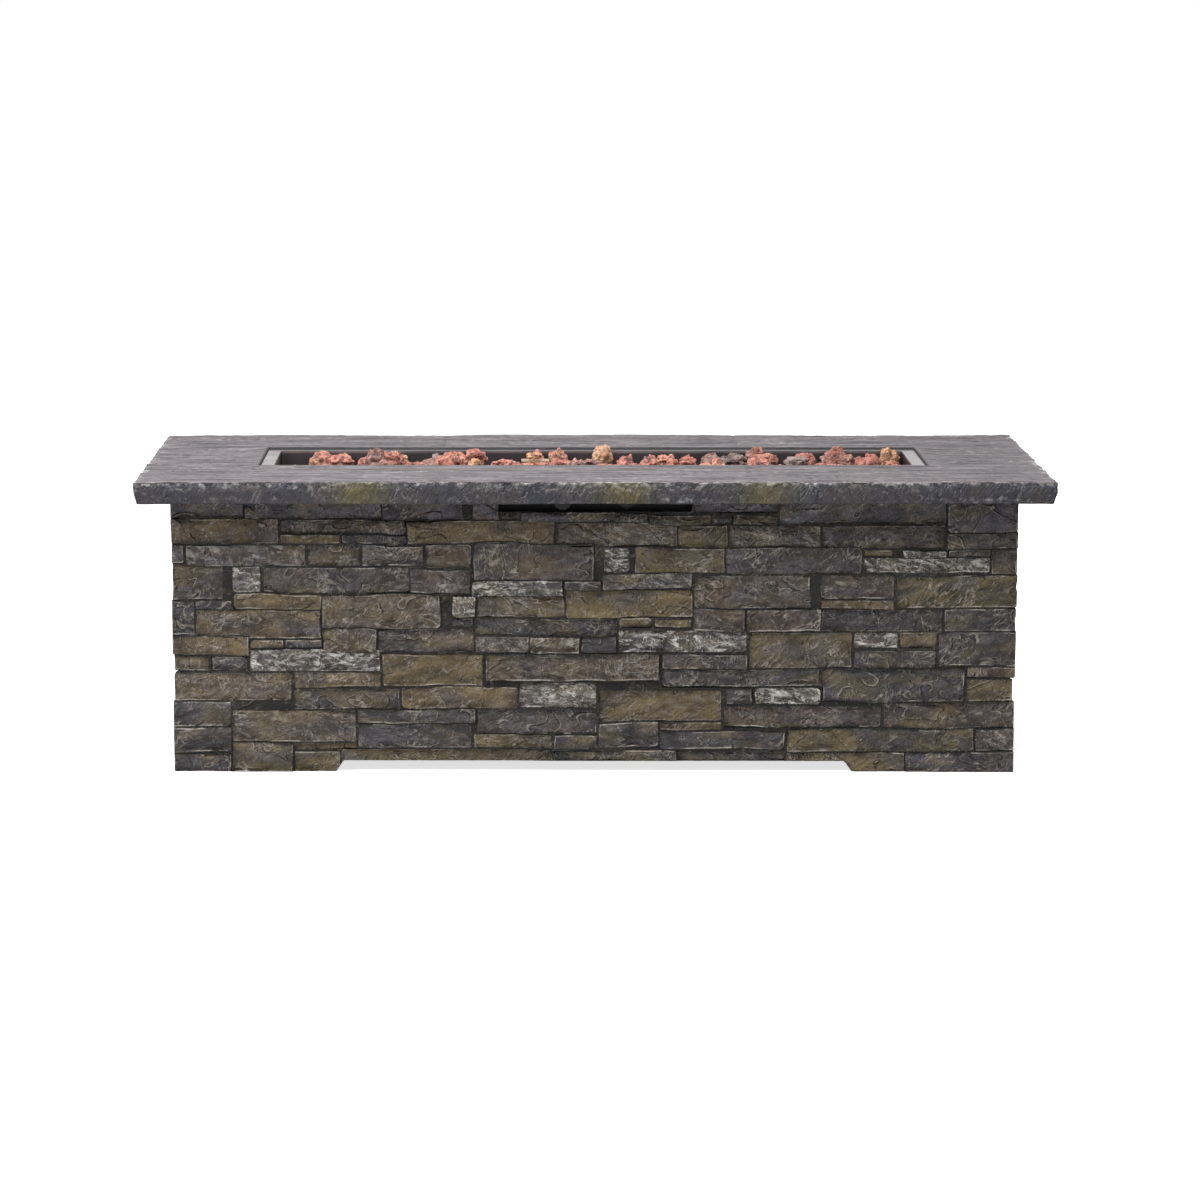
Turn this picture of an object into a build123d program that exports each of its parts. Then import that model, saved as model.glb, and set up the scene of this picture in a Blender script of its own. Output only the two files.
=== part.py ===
from build123d import *
import math
import os
import random

os.makedirs("parts", exist_ok=True)

# Propane fire pit table: stacked-stone base, slate-look top, linear gas burner under lava rock.
# Origin on the floor under the middle of the table, +X to the right, front towards -Y, +Z up. Millimetres.

# Overall sizes
top_length = 1422.0
top_depth = 559.0
table_height = 470.0
overhang = 51.0

# Table top casting
field_thickness = 20.0
rim_height = 38.0
rim_thickness = 30.0
rim_foot_inset = 5.0
rim_foot_height = 20.0
rim_edge_break = 3.0
rim_chip = 2.5
rim_chip_pitch = 48.0
slab_joint_offset = 242.0
slab_joint_width = 4.0
slab_joint_depth = 2.0

# Wall castings: a slab with stones standing out of it
wall_slab = 12.0
stone_relief = 12.0
stone_least_relief = 6.0
stone_root = 2.0
stone_shrink = 0.7
stone_slant = 0.22
stone_tilt = 0.02
stone_wander = 1.2
corner_wander = 5.0
corner_gap = 4.5
panel_gap = 0.2
arch_width = 811.0
arch_height = 17.0
arch_slant = 12.0
notch_width = 300.0

# Brackets, clips and screws
sheet_bracket = 2.0
corner_leg = 35.0
corner_bracket_height = 320.0
corner_bracket_lift = 50.0
corner_screw_pitch = 220.0
corner_screw_reach = 21.0
clip_leg = 26.0
clip_width = 40.0
clip_station = 420.0
clip_screw_reach = 15.6
screw_radius = 2.0
screw_head_radius = 4.0
screw_head_height = 2.4
screw_head_round = 1.4
screw_length = 11.0
screw_clearance = 0.15
pilot_spare = 1.0
self_tapper_reach = 4.0

# Burner pan
pan_length = 1014.0
pan_width = 167.0
pan_depth = 48.0
pan_sheet = 2.0
pan_corner = 8.0
flange_width = 20.0
flange_gap = 2.0
flange_sink = 3.0
pan_side_gap = 3.0
drain_radius = 4.0
drain_station = 430.0
drain_offset = 62.0

# Burner
burner_length = 900.0
burner_radius = 9.5
burner_wall = 1.5
burner_lift = 10.0
port_radius = 1.5
port_pitch = 30.0
port_angle = 35.0
saddle_station = 300.0
saddle_width = 20.0
saddle_sheet = 1.5
saddle_foot = 15.0
saddle_screw_reach = 8.2
inlet_radius = 9.0
inlet_bore = 7.0
inlet_reach = 30.0
fit_gap = 0.15
inlet_nut_flats = 30.0
inlet_nut_height = 8.0

# Air mixer, orifice elbow and feed tube
mixer_radius = 13.0
mixer_length = 45.0
mixer_grip = 10.0
mixer_floor = 6.0
mixer_window_width = 9.0
mixer_window_height = 18.0
mixer_window_lift = 2.0
mixer_window_turns = (45, 135)
orifice_radius = 5.0
elbow_block = 20.0
elbow_edge = 2.0
elbow_branch_radius = 6.0
elbow_branch_reach = 11.0
feed_radius = 4.0
feed_bend = 30.0
feed_aim = 85.0
tube_nut_flats = 17.0
tube_nut_length = 16.0
tube_nut_cover = 6.0
tube_nut_gap = 1.2

# Control panel, in the notch under the rim
control_panel_sheet = 1.5
control_panel_lap = 20.0
control_panel_top_gap = 2.0
control_station = 50.0
control_head_room = 2.0
notch_floor_gap = 2.4

# Gas valve
valve_width = 56.0
valve_height = 34.0
valve_length = 40.0
valve_edge = 3.0
valve_nose_radius = 7.0
valve_nose_spare = 1.5
valve_nut_flats = 20.0
valve_nut_height = 4.0
port_spacing = 36.0
valve_boss_radius = 9.0
valve_boss_length = 7.0
inlet_hex_flats = 20.0
inlet_hex_height = 8.0
inlet_pin_radius = 7.9
inlet_pin_length = 16.0
inlet_spud_radius = 6.0
inlet_spud_length = 6.0

# Knob, stem and return spring
stem_radius = 4.0
stem_length = 41.0
stem_spare = 2.0
knob_radius = 15.0
knob_length = 16.0
knob_travel = 4.0
knob_run_gap = 1.0
knob_face = 4.0
knob_skirt = 2.0
knob_hub_radius = 6.5
knob_grip_count = 12
knob_grip_radius = 1.6
knob_flute_length = 11.2
pointer_width = 1.6
pointer_height = 0.8
pointer_inner = 3.0
pointer_outer = 12.8
stem_grip = 5.0
washer_thickness = 1.0
washer_radius = 12.0
knob_spring_radius = 9.0
knob_spring_wire = 1.0
knob_spring_turns = 4

# Igniter
igniter_radius = 13.0
igniter_nose_radius = 10.0
igniter_nose_spare = 2.5
igniter_bore = 7.7
igniter_back = 2.0
igniter_nut_flats = 27.0
igniter_nut_height = 5.0
igniter_terminal_radius = 3.0
igniter_terminal_length = 5.0
button_radius = 7.5
button_length = 12.5
button_travel = 5.0
button_run_gap = 2.0
button_dome = 1.5
battery_radius = 7.25
battery_length = 50.5
igniter_spring_length = 13.0
igniter_spring_radius = 5.0
igniter_spring_wire = 0.8
igniter_spring_turns = 5

# Pilot group: hood, electrode, thermocouple and their leads
hood_station = -92.0
hood_width = 44.0
hood_depth = 30.0
hood_sheet = 1.5
hood_foot = 13.0
hood_screw_reach = 7.2
hood_offset = -47.0
pilot_spacing = 16.0
insulator_radius = 3.5
insulator_length = 36.0
insulator_below = 14.0
collar_radius = 6.0
collar_height = 3.0
electrode_radius = 1.25
electrode_gap = 13.0
probe_radius = 2.5
probe_round = 2.0
probe_gap = 16.0
spark_lead_radius = 1.5
thermo_lead_radius = 1.25
lead_bend = 20.0
lead_out = 24.0
lead_spacing = 10.0

# Heat shield between the pan and the controls
shield_length = 360.0
shield_drop = 56.0
shield_sheet = 1.5
shield_flange = 16.0
shield_gap = 8.0
shield_screw_station = 140.0
shield_screw_reach = 8.8

# Lava rock bed
rock_pitch = 40.0
rock_gap = 1.5
rock_rise = 16.0
rock_fall = 26.0
rock_least_height = 13.0
rock_sides = 6
rock_squareness = 3.0
rock_lean = 0.3
rock_foot_fill = (0.65, 0.85)
rock_waist_fill = (0.92, 1.0)
rock_top_fill = (0.45, 0.75)
hood_rock_width = 29.0
hood_rock_depth = 21.0
middle_rock_half_width = 14.0
rock_seat_gap = 0.2

# Derived levels and lines
field_under = table_height - field_thickness
rim_bottom = table_height - rim_height
base_length = top_length - 2 * overhang
base_depth = top_depth - 2 * overhang
stone_plane_x = base_length / 2 - stone_relief
stone_plane_y = base_depth / 2 - stone_relief
inner_x = stone_plane_x - wall_slab
inner_y = stone_plane_y - wall_slab
flange_top = table_height - flange_sink
pan_floor = flange_top - pan_depth
pan_under = pan_floor - pan_sheet
burner_z = pan_floor + burner_lift + burner_radius
panel_front = -inner_y
panel_back = panel_front + control_panel_sheet
igniter_nut_reach = igniter_nut_flats / math.sqrt(3)
control_reach = max(knob_radius, igniter_nut_reach)
control_z = field_under - control_head_room - max(valve_height / 2, control_reach)
notch_low = control_z - control_reach - notch_floor_gap
knob_x = -control_station
button_x = control_station

CENTRED_UP = (Align.CENTER, Align.CENTER, Align.MIN)
FRONT = (0, -1, 0)
BACK = (0, 1, 0)
UP = (0, 0, 1)
DOWN = (0, 0, -1)


def box_between(low, high):
    """Box from its lowest corner to its highest corner."""
    size = [b - a for a, b in zip(low, high)]
    middle = [(a + b) / 2 for a, b in zip(low, high)]
    return Pos(*middle) * Box(*size)


def rod(start, direction, radius, length):
    """Round bar from a start point along a direction."""
    return Plane(origin=start, z_dir=direction) * Cylinder(radius, length, align=CENTRED_UP)


def hexagon(start, direction, flats, height):
    """Six-sided bar from a start point along a direction, by its width across flats."""
    face = RegularPolygon(flats / 2, 6, major_radius=False)
    return Plane(origin=start, z_dir=direction) * extrude(face, height)


def ring_nut(start, direction, flats, height, bore):
    """Hexagon nut from a start point along a direction."""
    return hexagon(start, direction, flats, height) - rod(start, direction, bore, height)


def screw(seat, inward, length=screw_length):
    """Pan-head screw: its head stands on the seat and its shank runs inward."""
    outward = tuple(-value for value in inward)
    head = rod(seat, outward, screw_head_radius, screw_head_height)
    outer_edge = head.edges().filter_by(GeomType.CIRCLE).sort_by_distance(seat)[-1:]
    head = fillet(outer_edge, screw_head_round)
    return head + rod(seat, inward, screw_radius, length)


def screw_hole(seat, inward, depth):
    """Round hole that takes a screw's shank, from the seat inward."""
    return rod(seat, inward, screw_radius + screw_clearance, depth)


def polyhedron(faces):
    """Closed solid from the corner points of its flat faces."""
    return Solid(Shell([Face(Wire.make_polygon(points)) for points in faces]))


def swept_tube(points, radius, bends):
    """Round tube along straight runs joined by tangent arcs, checked by its volume."""
    path = FilletPolyline(*points, radius=bends)
    tube = sweep(Plane(origin=path @ 0, z_dir=path % 0) * Circle(radius), path=path)
    expected = math.pi * radius**2 * path.length
    print("tube length", round(path.length, 1), "volume ratio", round(tube.volume / expected, 4))
    return tube


def coil_spring(start, direction, length, radius, wire, turns):
    """Coil spring along a direction: its wire follows a pair of tangent arcs for each half turn."""
    travel = length - wire
    rise = travel / (2 * math.pi * turns)
    frame = Plane(origin=start, z_dir=direction)

    def place(angle):
        height = wire / 2 + rise * angle
        return Vector(radius * math.cos(angle), radius * math.sin(angle), height)

    def heading(angle):
        return Vector(-radius * math.sin(angle), radius * math.cos(angle), rise).normalized()

    edges = []
    for half in range(2 * turns):
        first, last = place(half * math.pi), place((half + 1) * math.pi)
        head, tail = heading(half * math.pi), heading((half + 1) * math.pi)
        span = last - first
        both = head + tail
        spread = 2 * (1 - head.dot(tail))
        reach = (-span.dot(both) + math.sqrt(span.dot(both) ** 2 + spread * span.dot(span))) / spread
        near, far = first + head * reach, last - tail * reach
        joint = (near + far) * 0.5
        edges.append(Edge.make_tangent_arc(first, head, joint))
        edges.append(Edge.make_tangent_arc(joint, far - near, last))
    path = Wire(edges)
    coil = sweep(Plane(origin=place(0), z_dir=heading(0)) * Circle(wire / 2), path=path)
    steps = 48
    samples = [path.position_at(step / (steps * turns)) for step in range(steps * turns + 1)]
    gaps = [(samples[i + steps] - samples[i]).length - wire for i in range(len(samples) - steps)]
    print("spring least gap between turns", round(min(gaps), 2))
    return frame * coil


nodes = {}

# Table top: a casting with a drawn-in rim foot and a chipped edge, hollow under its field


def riven_outline():
    """Plan outline of the top: straight sides with shallow chips, every third point left at full size."""
    chance = random.Random(11)
    points = []
    corners = [(-1, -1), (1, -1), (1, 1), (-1, 1)]
    for (ax, ay), (bx, by) in zip(corners, corners[1:] + corners[:1]):
        start = Vector(ax * top_length / 2, ay * top_depth / 2)
        stop = Vector(bx * top_length / 2, by * top_depth / 2)
        inward = Vector(-(stop - start).Y, (stop - start).X).normalized()
        along = (stop - start).normalized()
        points.append(start + (inward + along) * rim_chip)
        count = max(4, round((stop - start).length / rim_chip_pitch))
        for step in range(1, count):
            chip = 0 if step % 3 == 1 else chance.uniform(0.2, 1.0) * rim_chip
            points.append(start + (stop - start) * (step / count) + inward * chip)
    return Polygon(*[(point.X, point.Y) for point in points], align=None)


def make_table_top():
    """The top: rim, field, hollow underside, rebate and opening for the pan, slab joints and screw holes."""
    levels = [
        (rim_bottom, rim_foot_inset),
        (rim_bottom + rim_foot_height, 0),
        (table_height - rim_edge_break, 0),
        (table_height, rim_edge_break),
    ]
    sections = []
    for z, inset in levels:
        sections.append(Pos(0, 0, z) * Rectangle(top_length - 2 * inset, top_depth - 2 * inset))
    top = loft(sections, ruled=True)
    top &= Pos(0, 0, rim_bottom) * extrude(riven_outline(), rim_height)
    hollow_length = top_length - 2 * rim_thickness
    hollow_depth = top_depth - 2 * rim_thickness
    hollow_rise = field_under - rim_bottom
    top -= Pos(0, 0, rim_bottom) * Box(hollow_length, hollow_depth, hollow_rise, align=CENTRED_UP)
    rebate_depth = flange_sink + pan_sheet
    rebate = RectangleRounded(rebate_length, rebate_width, pan_corner)
    top -= Pos(0, 0, table_height - rebate_depth) * extrude(rebate, rebate_depth)
    opening = RectangleRounded(opening_length, opening_width, pan_corner)
    top -= Pos(0, 0, field_under) * extrude(opening, field_thickness)
    for side in (-1, 1):
        for end in (-1, 1):
            edge = end * top_depth / 2
            inner = end * rebate_width / 2
            x = side * slab_joint_offset
            low = (x - slab_joint_width / 2, min(edge, inner), table_height - slab_joint_depth)
            high = (x + slab_joint_width / 2, max(edge, inner), table_height)
            top -= box_between(low, high)
            skin = end * (top_depth / 2 - slab_joint_depth)
            low = (x - slab_joint_width / 2, min(edge, skin), rim_bottom)
            high = (x + slab_joint_width / 2, max(edge, skin), table_height)
            top -= box_between(low, high)
    for seat, inward in clip_top_seats + shield_seats:
        top -= screw_hole(seat, inward, screw_length + pilot_spare)
    return top


rebate_length = pan_length + 2 * flange_width + 2 * flange_gap
rebate_width = pan_width + 2 * flange_width + 2 * flange_gap
opening_length = pan_length + 2 * pan_sheet + 2 * pan_side_gap
opening_width = pan_width + 2 * pan_sheet + 2 * pan_side_gap

# Stone layout of the wall castings, drawn on a grid of 847 by 283 units that is stretched over a wall.
# Each stone is its left and right edge, then its lower and upper edge. Rows run from the top course down.
layout_span = 847
layout_rise = 283
stone_layout = [
    (0, 74, 254, 277), (75, 211, 253, 277), (212, 291, 252, 277), (302, 328, 252, 277),
    (329, 425, 260, 277), (426, 521, 260, 277), (522, 606, 258, 277), (608, 774, 247, 277),
    (775, 847, 239, 277), (329, 349, 252, 259), (350, 477, 250, 259), (479, 540, 247, 257),
    (541, 562, 247, 256), (563, 606, 247, 256),
    (0, 108, 228, 253), (110, 236, 238, 252), (110, 169, 228, 237), (170, 236, 228, 237),
    (237, 384, 229, 251), (386, 506, 225, 249), (507, 557, 225, 246), (558, 649, 225, 246),
    (651, 773, 223, 246), (775, 847, 223, 238),
    (0, 13, 209, 227), (15, 135, 206, 227), (136, 189, 206, 227), (191, 253, 206, 227),
    (255, 301, 204, 228), (303, 423, 193, 228), (433, 459, 199, 224), (464, 554, 199, 224),
    (555, 691, 198, 224), (693, 722, 215, 222), (732, 774, 215, 222), (694, 819, 199, 214),
    (776, 819, 215, 222), (820, 847, 197, 222),
    (0, 52, 172, 208), (62, 89, 179, 205), (92, 238, 179, 205), (239, 300, 179, 203),
    (302, 393, 177, 192), (395, 430, 183, 192), (432, 522, 183, 198), (524, 640, 164, 197),
    (650, 724, 173, 197), (650, 724, 164, 172), (726, 847, 164, 196),
    (0, 23, 137, 171), (24, 60, 163, 171), (62, 151, 163, 178), (24, 150, 134, 162),
    (152, 270, 145, 178), (282, 305, 156, 177), (306, 394, 155, 176), (395, 522, 154, 182),
    (523, 575, 141, 163), (577, 650, 141, 163), (651, 772, 141, 163), (774, 847, 141, 163),
    (280, 303, 145, 154),
    (0, 77, 117, 136), (79, 112, 125, 133), (114, 150, 125, 133), (152, 205, 120, 144),
    (207, 303, 120, 144), (304, 446, 137, 154), (448, 482, 144, 153), (484, 521, 144, 153),
    (448, 577, 120, 142), (579, 682, 104, 140), (684, 728, 124, 140), (730, 767, 124, 140),
    (684, 767, 104, 122), (769, 847, 106, 140),
    (0, 37, 101, 116), (39, 76, 101, 116), (78, 209, 101, 123), (211, 312, 86, 119),
    (304, 358, 120, 136), (359, 408, 120, 136), (410, 446, 120, 136), (314, 490, 92, 119),
    (493, 577, 104, 119), (492, 650, 84, 103), (652, 796, 70, 103), (798, 847, 94, 105),
    (798, 847, 70, 93),
    (0, 120, 72, 100), (122, 209, 85, 100), (122, 228, 63, 84), (230, 346, 63, 85),
    (348, 426, 64, 90), (428, 552, 50, 82), (557, 583, 67, 82), (586, 650, 67, 83),
    (0, 58, 45, 71), (60, 184, 30, 62), (186, 303, 49, 62), (186, 300, 24, 48),
    (305, 426, 39, 62), (428, 489, 24, 49), (490, 552, 41, 49), (554, 713, 44, 66),
    (715, 847, 43, 69),
    (0, 58, 19, 44), (60, 120, 0, 29), (122, 185, 22, 29), (302, 381, 24, 38),
    (383, 427, 24, 38), (490, 615, 22, 40), (617, 806, 20, 43), (808, 847, 21, 42),
    (0, 58, 0, 18), (122, 168, 0, 21), (169, 382, 0, 23), (383, 507, 0, 21),
    (509, 616, 0, 20), (617, 737, 0, 19), (738, 847, 0, 20),
]
layout_least_width = 9


def stone_block(corners, relief, lean):
    """One stone in wall coordinates: slanted sides on four corner points and a leaning flat face."""
    centre = sum(corners, Vector()) * (1 / len(corners))
    roots, faces = [], []
    for index, corner in enumerate(corners):
        before = (corner - corners[index - 1]).normalized()
        after = (corners[(index + 1) % len(corners)] - corner).normalized()
        normal_before, normal_after = Vector(-before.Y, before.X), Vector(-after.Y, after.X)
        draw = (normal_before + normal_after) * (stone_slant / (1 + normal_before.dot(normal_after)))
        offset = corner - centre
        height = (relief + lean.dot(offset)) / (1 - lean.dot(draw))
        roots.append(corner - draw * stone_root - Vector(0, 0, stone_root))
        faces.append(corner + draw * height + Vector(0, 0, height))
    count = len(corners)
    sides = [
        [roots[i], roots[(i + 1) % count], faces[(i + 1) % count], faces[i]] for i in range(count)
    ]
    return polyhedron([roots[::-1], faces] + sides)


def wall_stones(span, start, seed, free_ends):
    """Stones of one casting, from a stretch of the layout that starts at the given grid unit.

    Stones that run over the stretch are trimmed. At free ends, the corners of the base, their ends wander.
    """
    chance = random.Random(seed)
    unit = base_length / layout_span
    rise = field_under / layout_rise
    reach = span / unit
    blocks = []
    for left, right, low, high in stone_layout:
        left, right = max(left, start), min(right, start + reach)
        relief = chance.uniform(stone_least_relief, stone_relief)
        wander = [chance.uniform(-1, 1) for _ in range(8)]
        lean = Vector(chance.uniform(-1, 1) * stone_tilt / 4, chance.uniform(-1, 1) * stone_tilt)
        cut_back = chance.uniform(0.1, 1) * corner_wander if free_ends else corner_gap
        if right - left < layout_least_width:
            continue
        least, most = cut_back - span / 2, span / 2 - cut_back
        x0 = max(least, (left - start) * unit - span / 2 + stone_shrink)
        x1 = min(most, (right - start) * unit - span / 2 - stone_shrink)
        z0 = low * rise + (stone_shrink if low else 0)
        z1 = high * rise - stone_shrink
        square = [(x0, z0), (x1, z0), (x1, z1), (x0, z1)]
        corners = []
        for index, (x, z) in enumerate(square):
            shift_x = 0 if x in (least, most) else wander[index] * stone_wander * 0.5
            shift_z = wander[index + 4] * stone_wander * 0.3 if z else 0
            corners.append(Vector(x + shift_x, z + shift_z))
        reach_of_lean = abs(lean.X) * (x1 - x0) / 2 + abs(lean.Y) * (z1 - z0) / 2
        lean *= min(1, (stone_relief - relief) / max(reach_of_lean, 0.001))
        blocks.append(stone_block(corners, relief, lean))
    return blocks


def make_wall(place, slab_length, span, start, seed, free_ends):
    """One wall casting: its slab, on the wall plane, with its stones fused to it."""
    slab = box_between((-slab_length / 2, 0, -wall_slab), (slab_length / 2, field_under, 0))
    casting = slab.fuse(*wall_stones(span, start, seed, free_ends))
    casting -= box_between((-span, -stone_relief, -2 * wall_slab), (span, 0, 2 * stone_relief))
    return place * casting


def arch_cutter():
    """Low arch through the front and back walls, which leaves room for a gas hose."""
    half = arch_width / 2
    shape = Polygon((-half, -1), (half, -1), (half, 0), (half - arch_slant, arch_height),
                    (arch_slant - half, arch_height), (-half, 0), align=None)
    return Plane.XZ * extrude(shape, base_depth, both=True)


def make_long_wall(facing, seed):
    """Front or back wall: full length, with the arch, its stones running over the ends of the base."""
    place = Plane(origin=(0, facing * stone_plane_y, 0), x_dir=(-facing, 0, 0), z_dir=(0, facing, 0))
    slab_length = 2 * (stone_plane_x - stone_root - panel_gap)
    wall = make_wall(place, slab_length, base_length, 0, seed, True)
    return wall - arch_cutter()


def make_end_wall(facing, start, seed):
    """End wall: its slab stands between the long walls and its stones lap over their ends."""
    place = Plane(origin=(facing * stone_plane_x, 0, 0), x_dir=(0, facing, 0), z_dir=(facing, 0, 0))
    return make_wall(place, 2 * (inner_y - panel_gap), 2 * stone_plane_y, start, seed, False)


left_end_start = 190
right_end_start = 395
facing_front, facing_back, facing_left, facing_right = (0, -1), (0, 1), (-1, 0), (1, 0)
walls = {
    facing_front: make_long_wall(-1, 3),
    facing_back: make_long_wall(1, 8),
    facing_left: make_end_wall(-1, left_end_start, 5),
    facing_right: make_end_wall(1, right_end_start, 6),
}
notch = box_between((-notch_width / 2, -base_depth, notch_low), (notch_width / 2, 0, field_under))
walls[facing_front] -= notch

# Corner brackets: upright steel angles in the inside corners, screwed to both walls
corner_brackets, corner_screws = [], []
bracket_top = corner_bracket_lift + corner_bracket_height
bracket_middle = corner_bracket_lift + corner_bracket_height / 2
for sx in (-1, 1):
    for sy in (-1, 1):
        outer = (sx * inner_x, sy * inner_y)
        inner = (sx * (inner_x - corner_leg), sy * (inner_y - corner_leg))
        face = (sx * (inner_x - sheet_bracket), sy * (inner_y - sheet_bracket))
        low_z, high_z = corner_bracket_lift, bracket_top
        leg_x = [sorted((inner[0], outer[0])), sorted((face[1], outer[1])), (low_z, high_z)]
        leg_y = [sorted((face[0], outer[0])), sorted((inner[1], outer[1])), (low_z, high_z)]
        angle = box_between(*zip(*leg_x)) + box_between(*zip(*leg_y))
        for side in (-1, 1):
            z = bracket_middle + side * corner_screw_pitch / 2
            long_seat = (sx * (inner_x - corner_screw_reach), face[1], z)
            end_seat = (face[0], sy * (inner_y - corner_screw_reach), z)
            for seat, inward in ((long_seat, (0, sy, 0)), (end_seat, (sx, 0, 0))):
                hole = screw_hole(seat, inward, screw_length + pilot_spare)
                angle -= hole
                corner_screws.append(screw(seat, inward))
                walls[inward[:2]] -= hole
        corner_brackets.append(angle)

# Top clips: short steel angles that hold the top down on the walls
top_clips, clip_screws, clip_top_seats = [], [], []
clip_places = [(side * clip_station, facing * inner_y, 0, facing) for side in (-1, 1) for facing in (-1, 1)]
clip_places += [(facing * inner_x, 0, facing, 0) for facing in (-1, 1)]
for x, y, nx, ny in clip_places:
    place = Plane(origin=(x, y, field_under), x_dir=(-ny, nx, 0), z_dir=UP)
    leg = box_between((-clip_width / 2, 0, -clip_leg), (clip_width / 2, sheet_bracket, 0))
    shelf = box_between((-clip_width / 2, 0, -sheet_bracket), (clip_width / 2, clip_leg, 0))
    clip = place * (leg + shelf)
    wall_seat = (x - nx * sheet_bracket, y - ny * sheet_bracket, field_under - clip_screw_reach)
    top_seat = (x - nx * clip_screw_reach, y - ny * clip_screw_reach, field_under - sheet_bracket)
    wall_hole = screw_hole(wall_seat, (nx, ny, 0), screw_length + pilot_spare)
    top_clips.append(clip - wall_hole - screw_hole(top_seat, UP, sheet_bracket))
    clip_screws += [screw(wall_seat, (nx, ny, 0)), screw(top_seat, UP)]
    clip_top_seats.append((top_seat, UP))
    walls[(nx, ny)] -= wall_hole

# Heat shield: a folded plate under the top, between the pan and the controls
shield_y = -(opening_width / 2 + shield_gap)
shield_low = field_under - shield_drop
shield_end = shield_length / 2
shield_fold = field_under - shield_sheet
shield_corner = (shield_end, shield_y, field_under)
heat_shield = box_between((-shield_end, shield_y - shield_sheet, shield_low), shield_corner)
heat_shield += box_between((-shield_end, shield_y - shield_flange, shield_fold), shield_corner)
shield_screw_y = shield_y - shield_screw_reach
shield_seats = [((side * shield_screw_station, shield_screw_y, shield_fold), UP) for side in (-1, 1)]
shield_screws = [screw(seat, inward) for seat, inward in shield_seats]
for seat, inward in shield_seats:
    heat_shield -= screw_hole(seat, inward, shield_sheet)

nodes["table_top"] = make_table_top()
nodes["corner_brackets"] = corner_brackets
nodes["corner_bracket_screws"] = corner_screws
nodes["top_clips"] = top_clips
nodes["top_clip_screws"] = clip_screws
nodes["heat_shield"] = heat_shield
nodes["heat_shield_screws"] = shield_screws

# Burner pan: folded sheet with a flange that lies in the rebate of the top
outside = RectangleRounded(pan_length + 2 * pan_sheet, pan_width + 2 * pan_sheet, pan_corner)
inside = RectangleRounded(pan_length, pan_width, pan_corner - pan_sheet)
brim = RectangleRounded(pan_length + 2 * flange_width, pan_width + 2 * flange_width, pan_corner)
fire_pan = Pos(0, 0, pan_under) * extrude(outside, flange_top - pan_under)
fire_pan += Pos(0, 0, flange_top - pan_sheet) * extrude(brim, pan_sheet)
fire_pan -= Pos(0, 0, pan_floor) * extrude(inside, pan_depth)
fire_pan -= rod((0, 0, pan_under), UP, inlet_radius + fit_gap, pan_sheet)
for side in (-1, 1):
    for end in (-1, 1):
        fire_pan -= rod((side * drain_station, end * drain_offset, pan_under), UP, drain_radius, pan_sheet)

# Burner: a capped tube with two rows of ports and a welded inlet, carried on two folded saddles
tube_start = (-burner_length / 2, 0, burner_z)
burner_tube = rod(tube_start, (1, 0, 0), burner_radius, burner_length)
inlet_end = pan_under - inlet_reach
burner_tube += rod((0, 0, inlet_end), UP, inlet_radius, burner_z - inlet_end)
hollow_start = (burner_wall - burner_length / 2, 0, burner_z)
burner_tube -= rod(hollow_start, (1, 0, 0), burner_radius - burner_wall, burner_length - 2 * burner_wall)
burner_tube -= rod((0, 0, inlet_end), UP, inlet_bore, burner_z - inlet_end)
port_count = int((burner_length / 2 - 2 * burner_radius) // port_pitch)
port_holes = []
for side in (-1, 1):
    tilt = math.radians(port_angle) * side
    for step in range(-port_count, port_count + 1):
        aim = (0, math.sin(tilt), math.cos(tilt))
        port_holes.append(rod((step * port_pitch, 0, burner_z), aim, port_radius, 2 * burner_radius))
burner_tube = burner_tube.cut(*port_holes)

saddles, saddle_screws = [], []
saddle_stations = (-saddle_station, saddle_station)
cradle = burner_radius + fit_gap
leg_out = cradle + 2 * saddle_sheet
foot_out = leg_out + saddle_foot
for station in saddle_stations:
    profile = Pos(0, burner_z) * Circle(cradle + saddle_sheet)
    profile -= Pos(0, burner_z) * Circle(cradle)
    profile &= Pos(0, burner_z - foot_out) * Rectangle(2 * foot_out, 2 * foot_out)
    for side in (-1, 1):
        leg_middle = side * (leg_out - saddle_sheet)
        leg = Rectangle(2 * saddle_sheet, burner_z - pan_floor)
        profile += Pos(leg_middle, (pan_floor + burner_z) / 2) * leg
        foot = Rectangle(saddle_foot, saddle_sheet)
        profile += Pos(side * (leg_out + foot_out) / 2, pan_floor + saddle_sheet / 2) * foot
    saddle_place = Plane(origin=(station - saddle_width / 2, 0, 0), x_dir=(0, 1, 0), z_dir=(1, 0, 0))
    saddle = saddle_place * extrude(profile, saddle_width)
    for side in (-1, 1):
        seat = (station, side * (leg_out + saddle_screw_reach), pan_floor + saddle_sheet)
        hole = screw_hole(seat, DOWN, saddle_sheet + pan_sheet)
        saddle -= hole
        fire_pan -= hole
        saddle_screws.append(screw(seat, DOWN, saddle_sheet + pan_sheet + self_tapper_reach))
    saddles.append(saddle)

nodes["burner_tube"] = burner_tube
nodes["burner_saddles"] = saddles
nodes["burner_saddle_screws"] = saddle_screws
nodes["burner_inlet_nut"] = ring_nut(
    (0, 0, pan_under), DOWN, inlet_nut_flats, inlet_nut_height, inlet_radius + fit_gap
)

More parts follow.
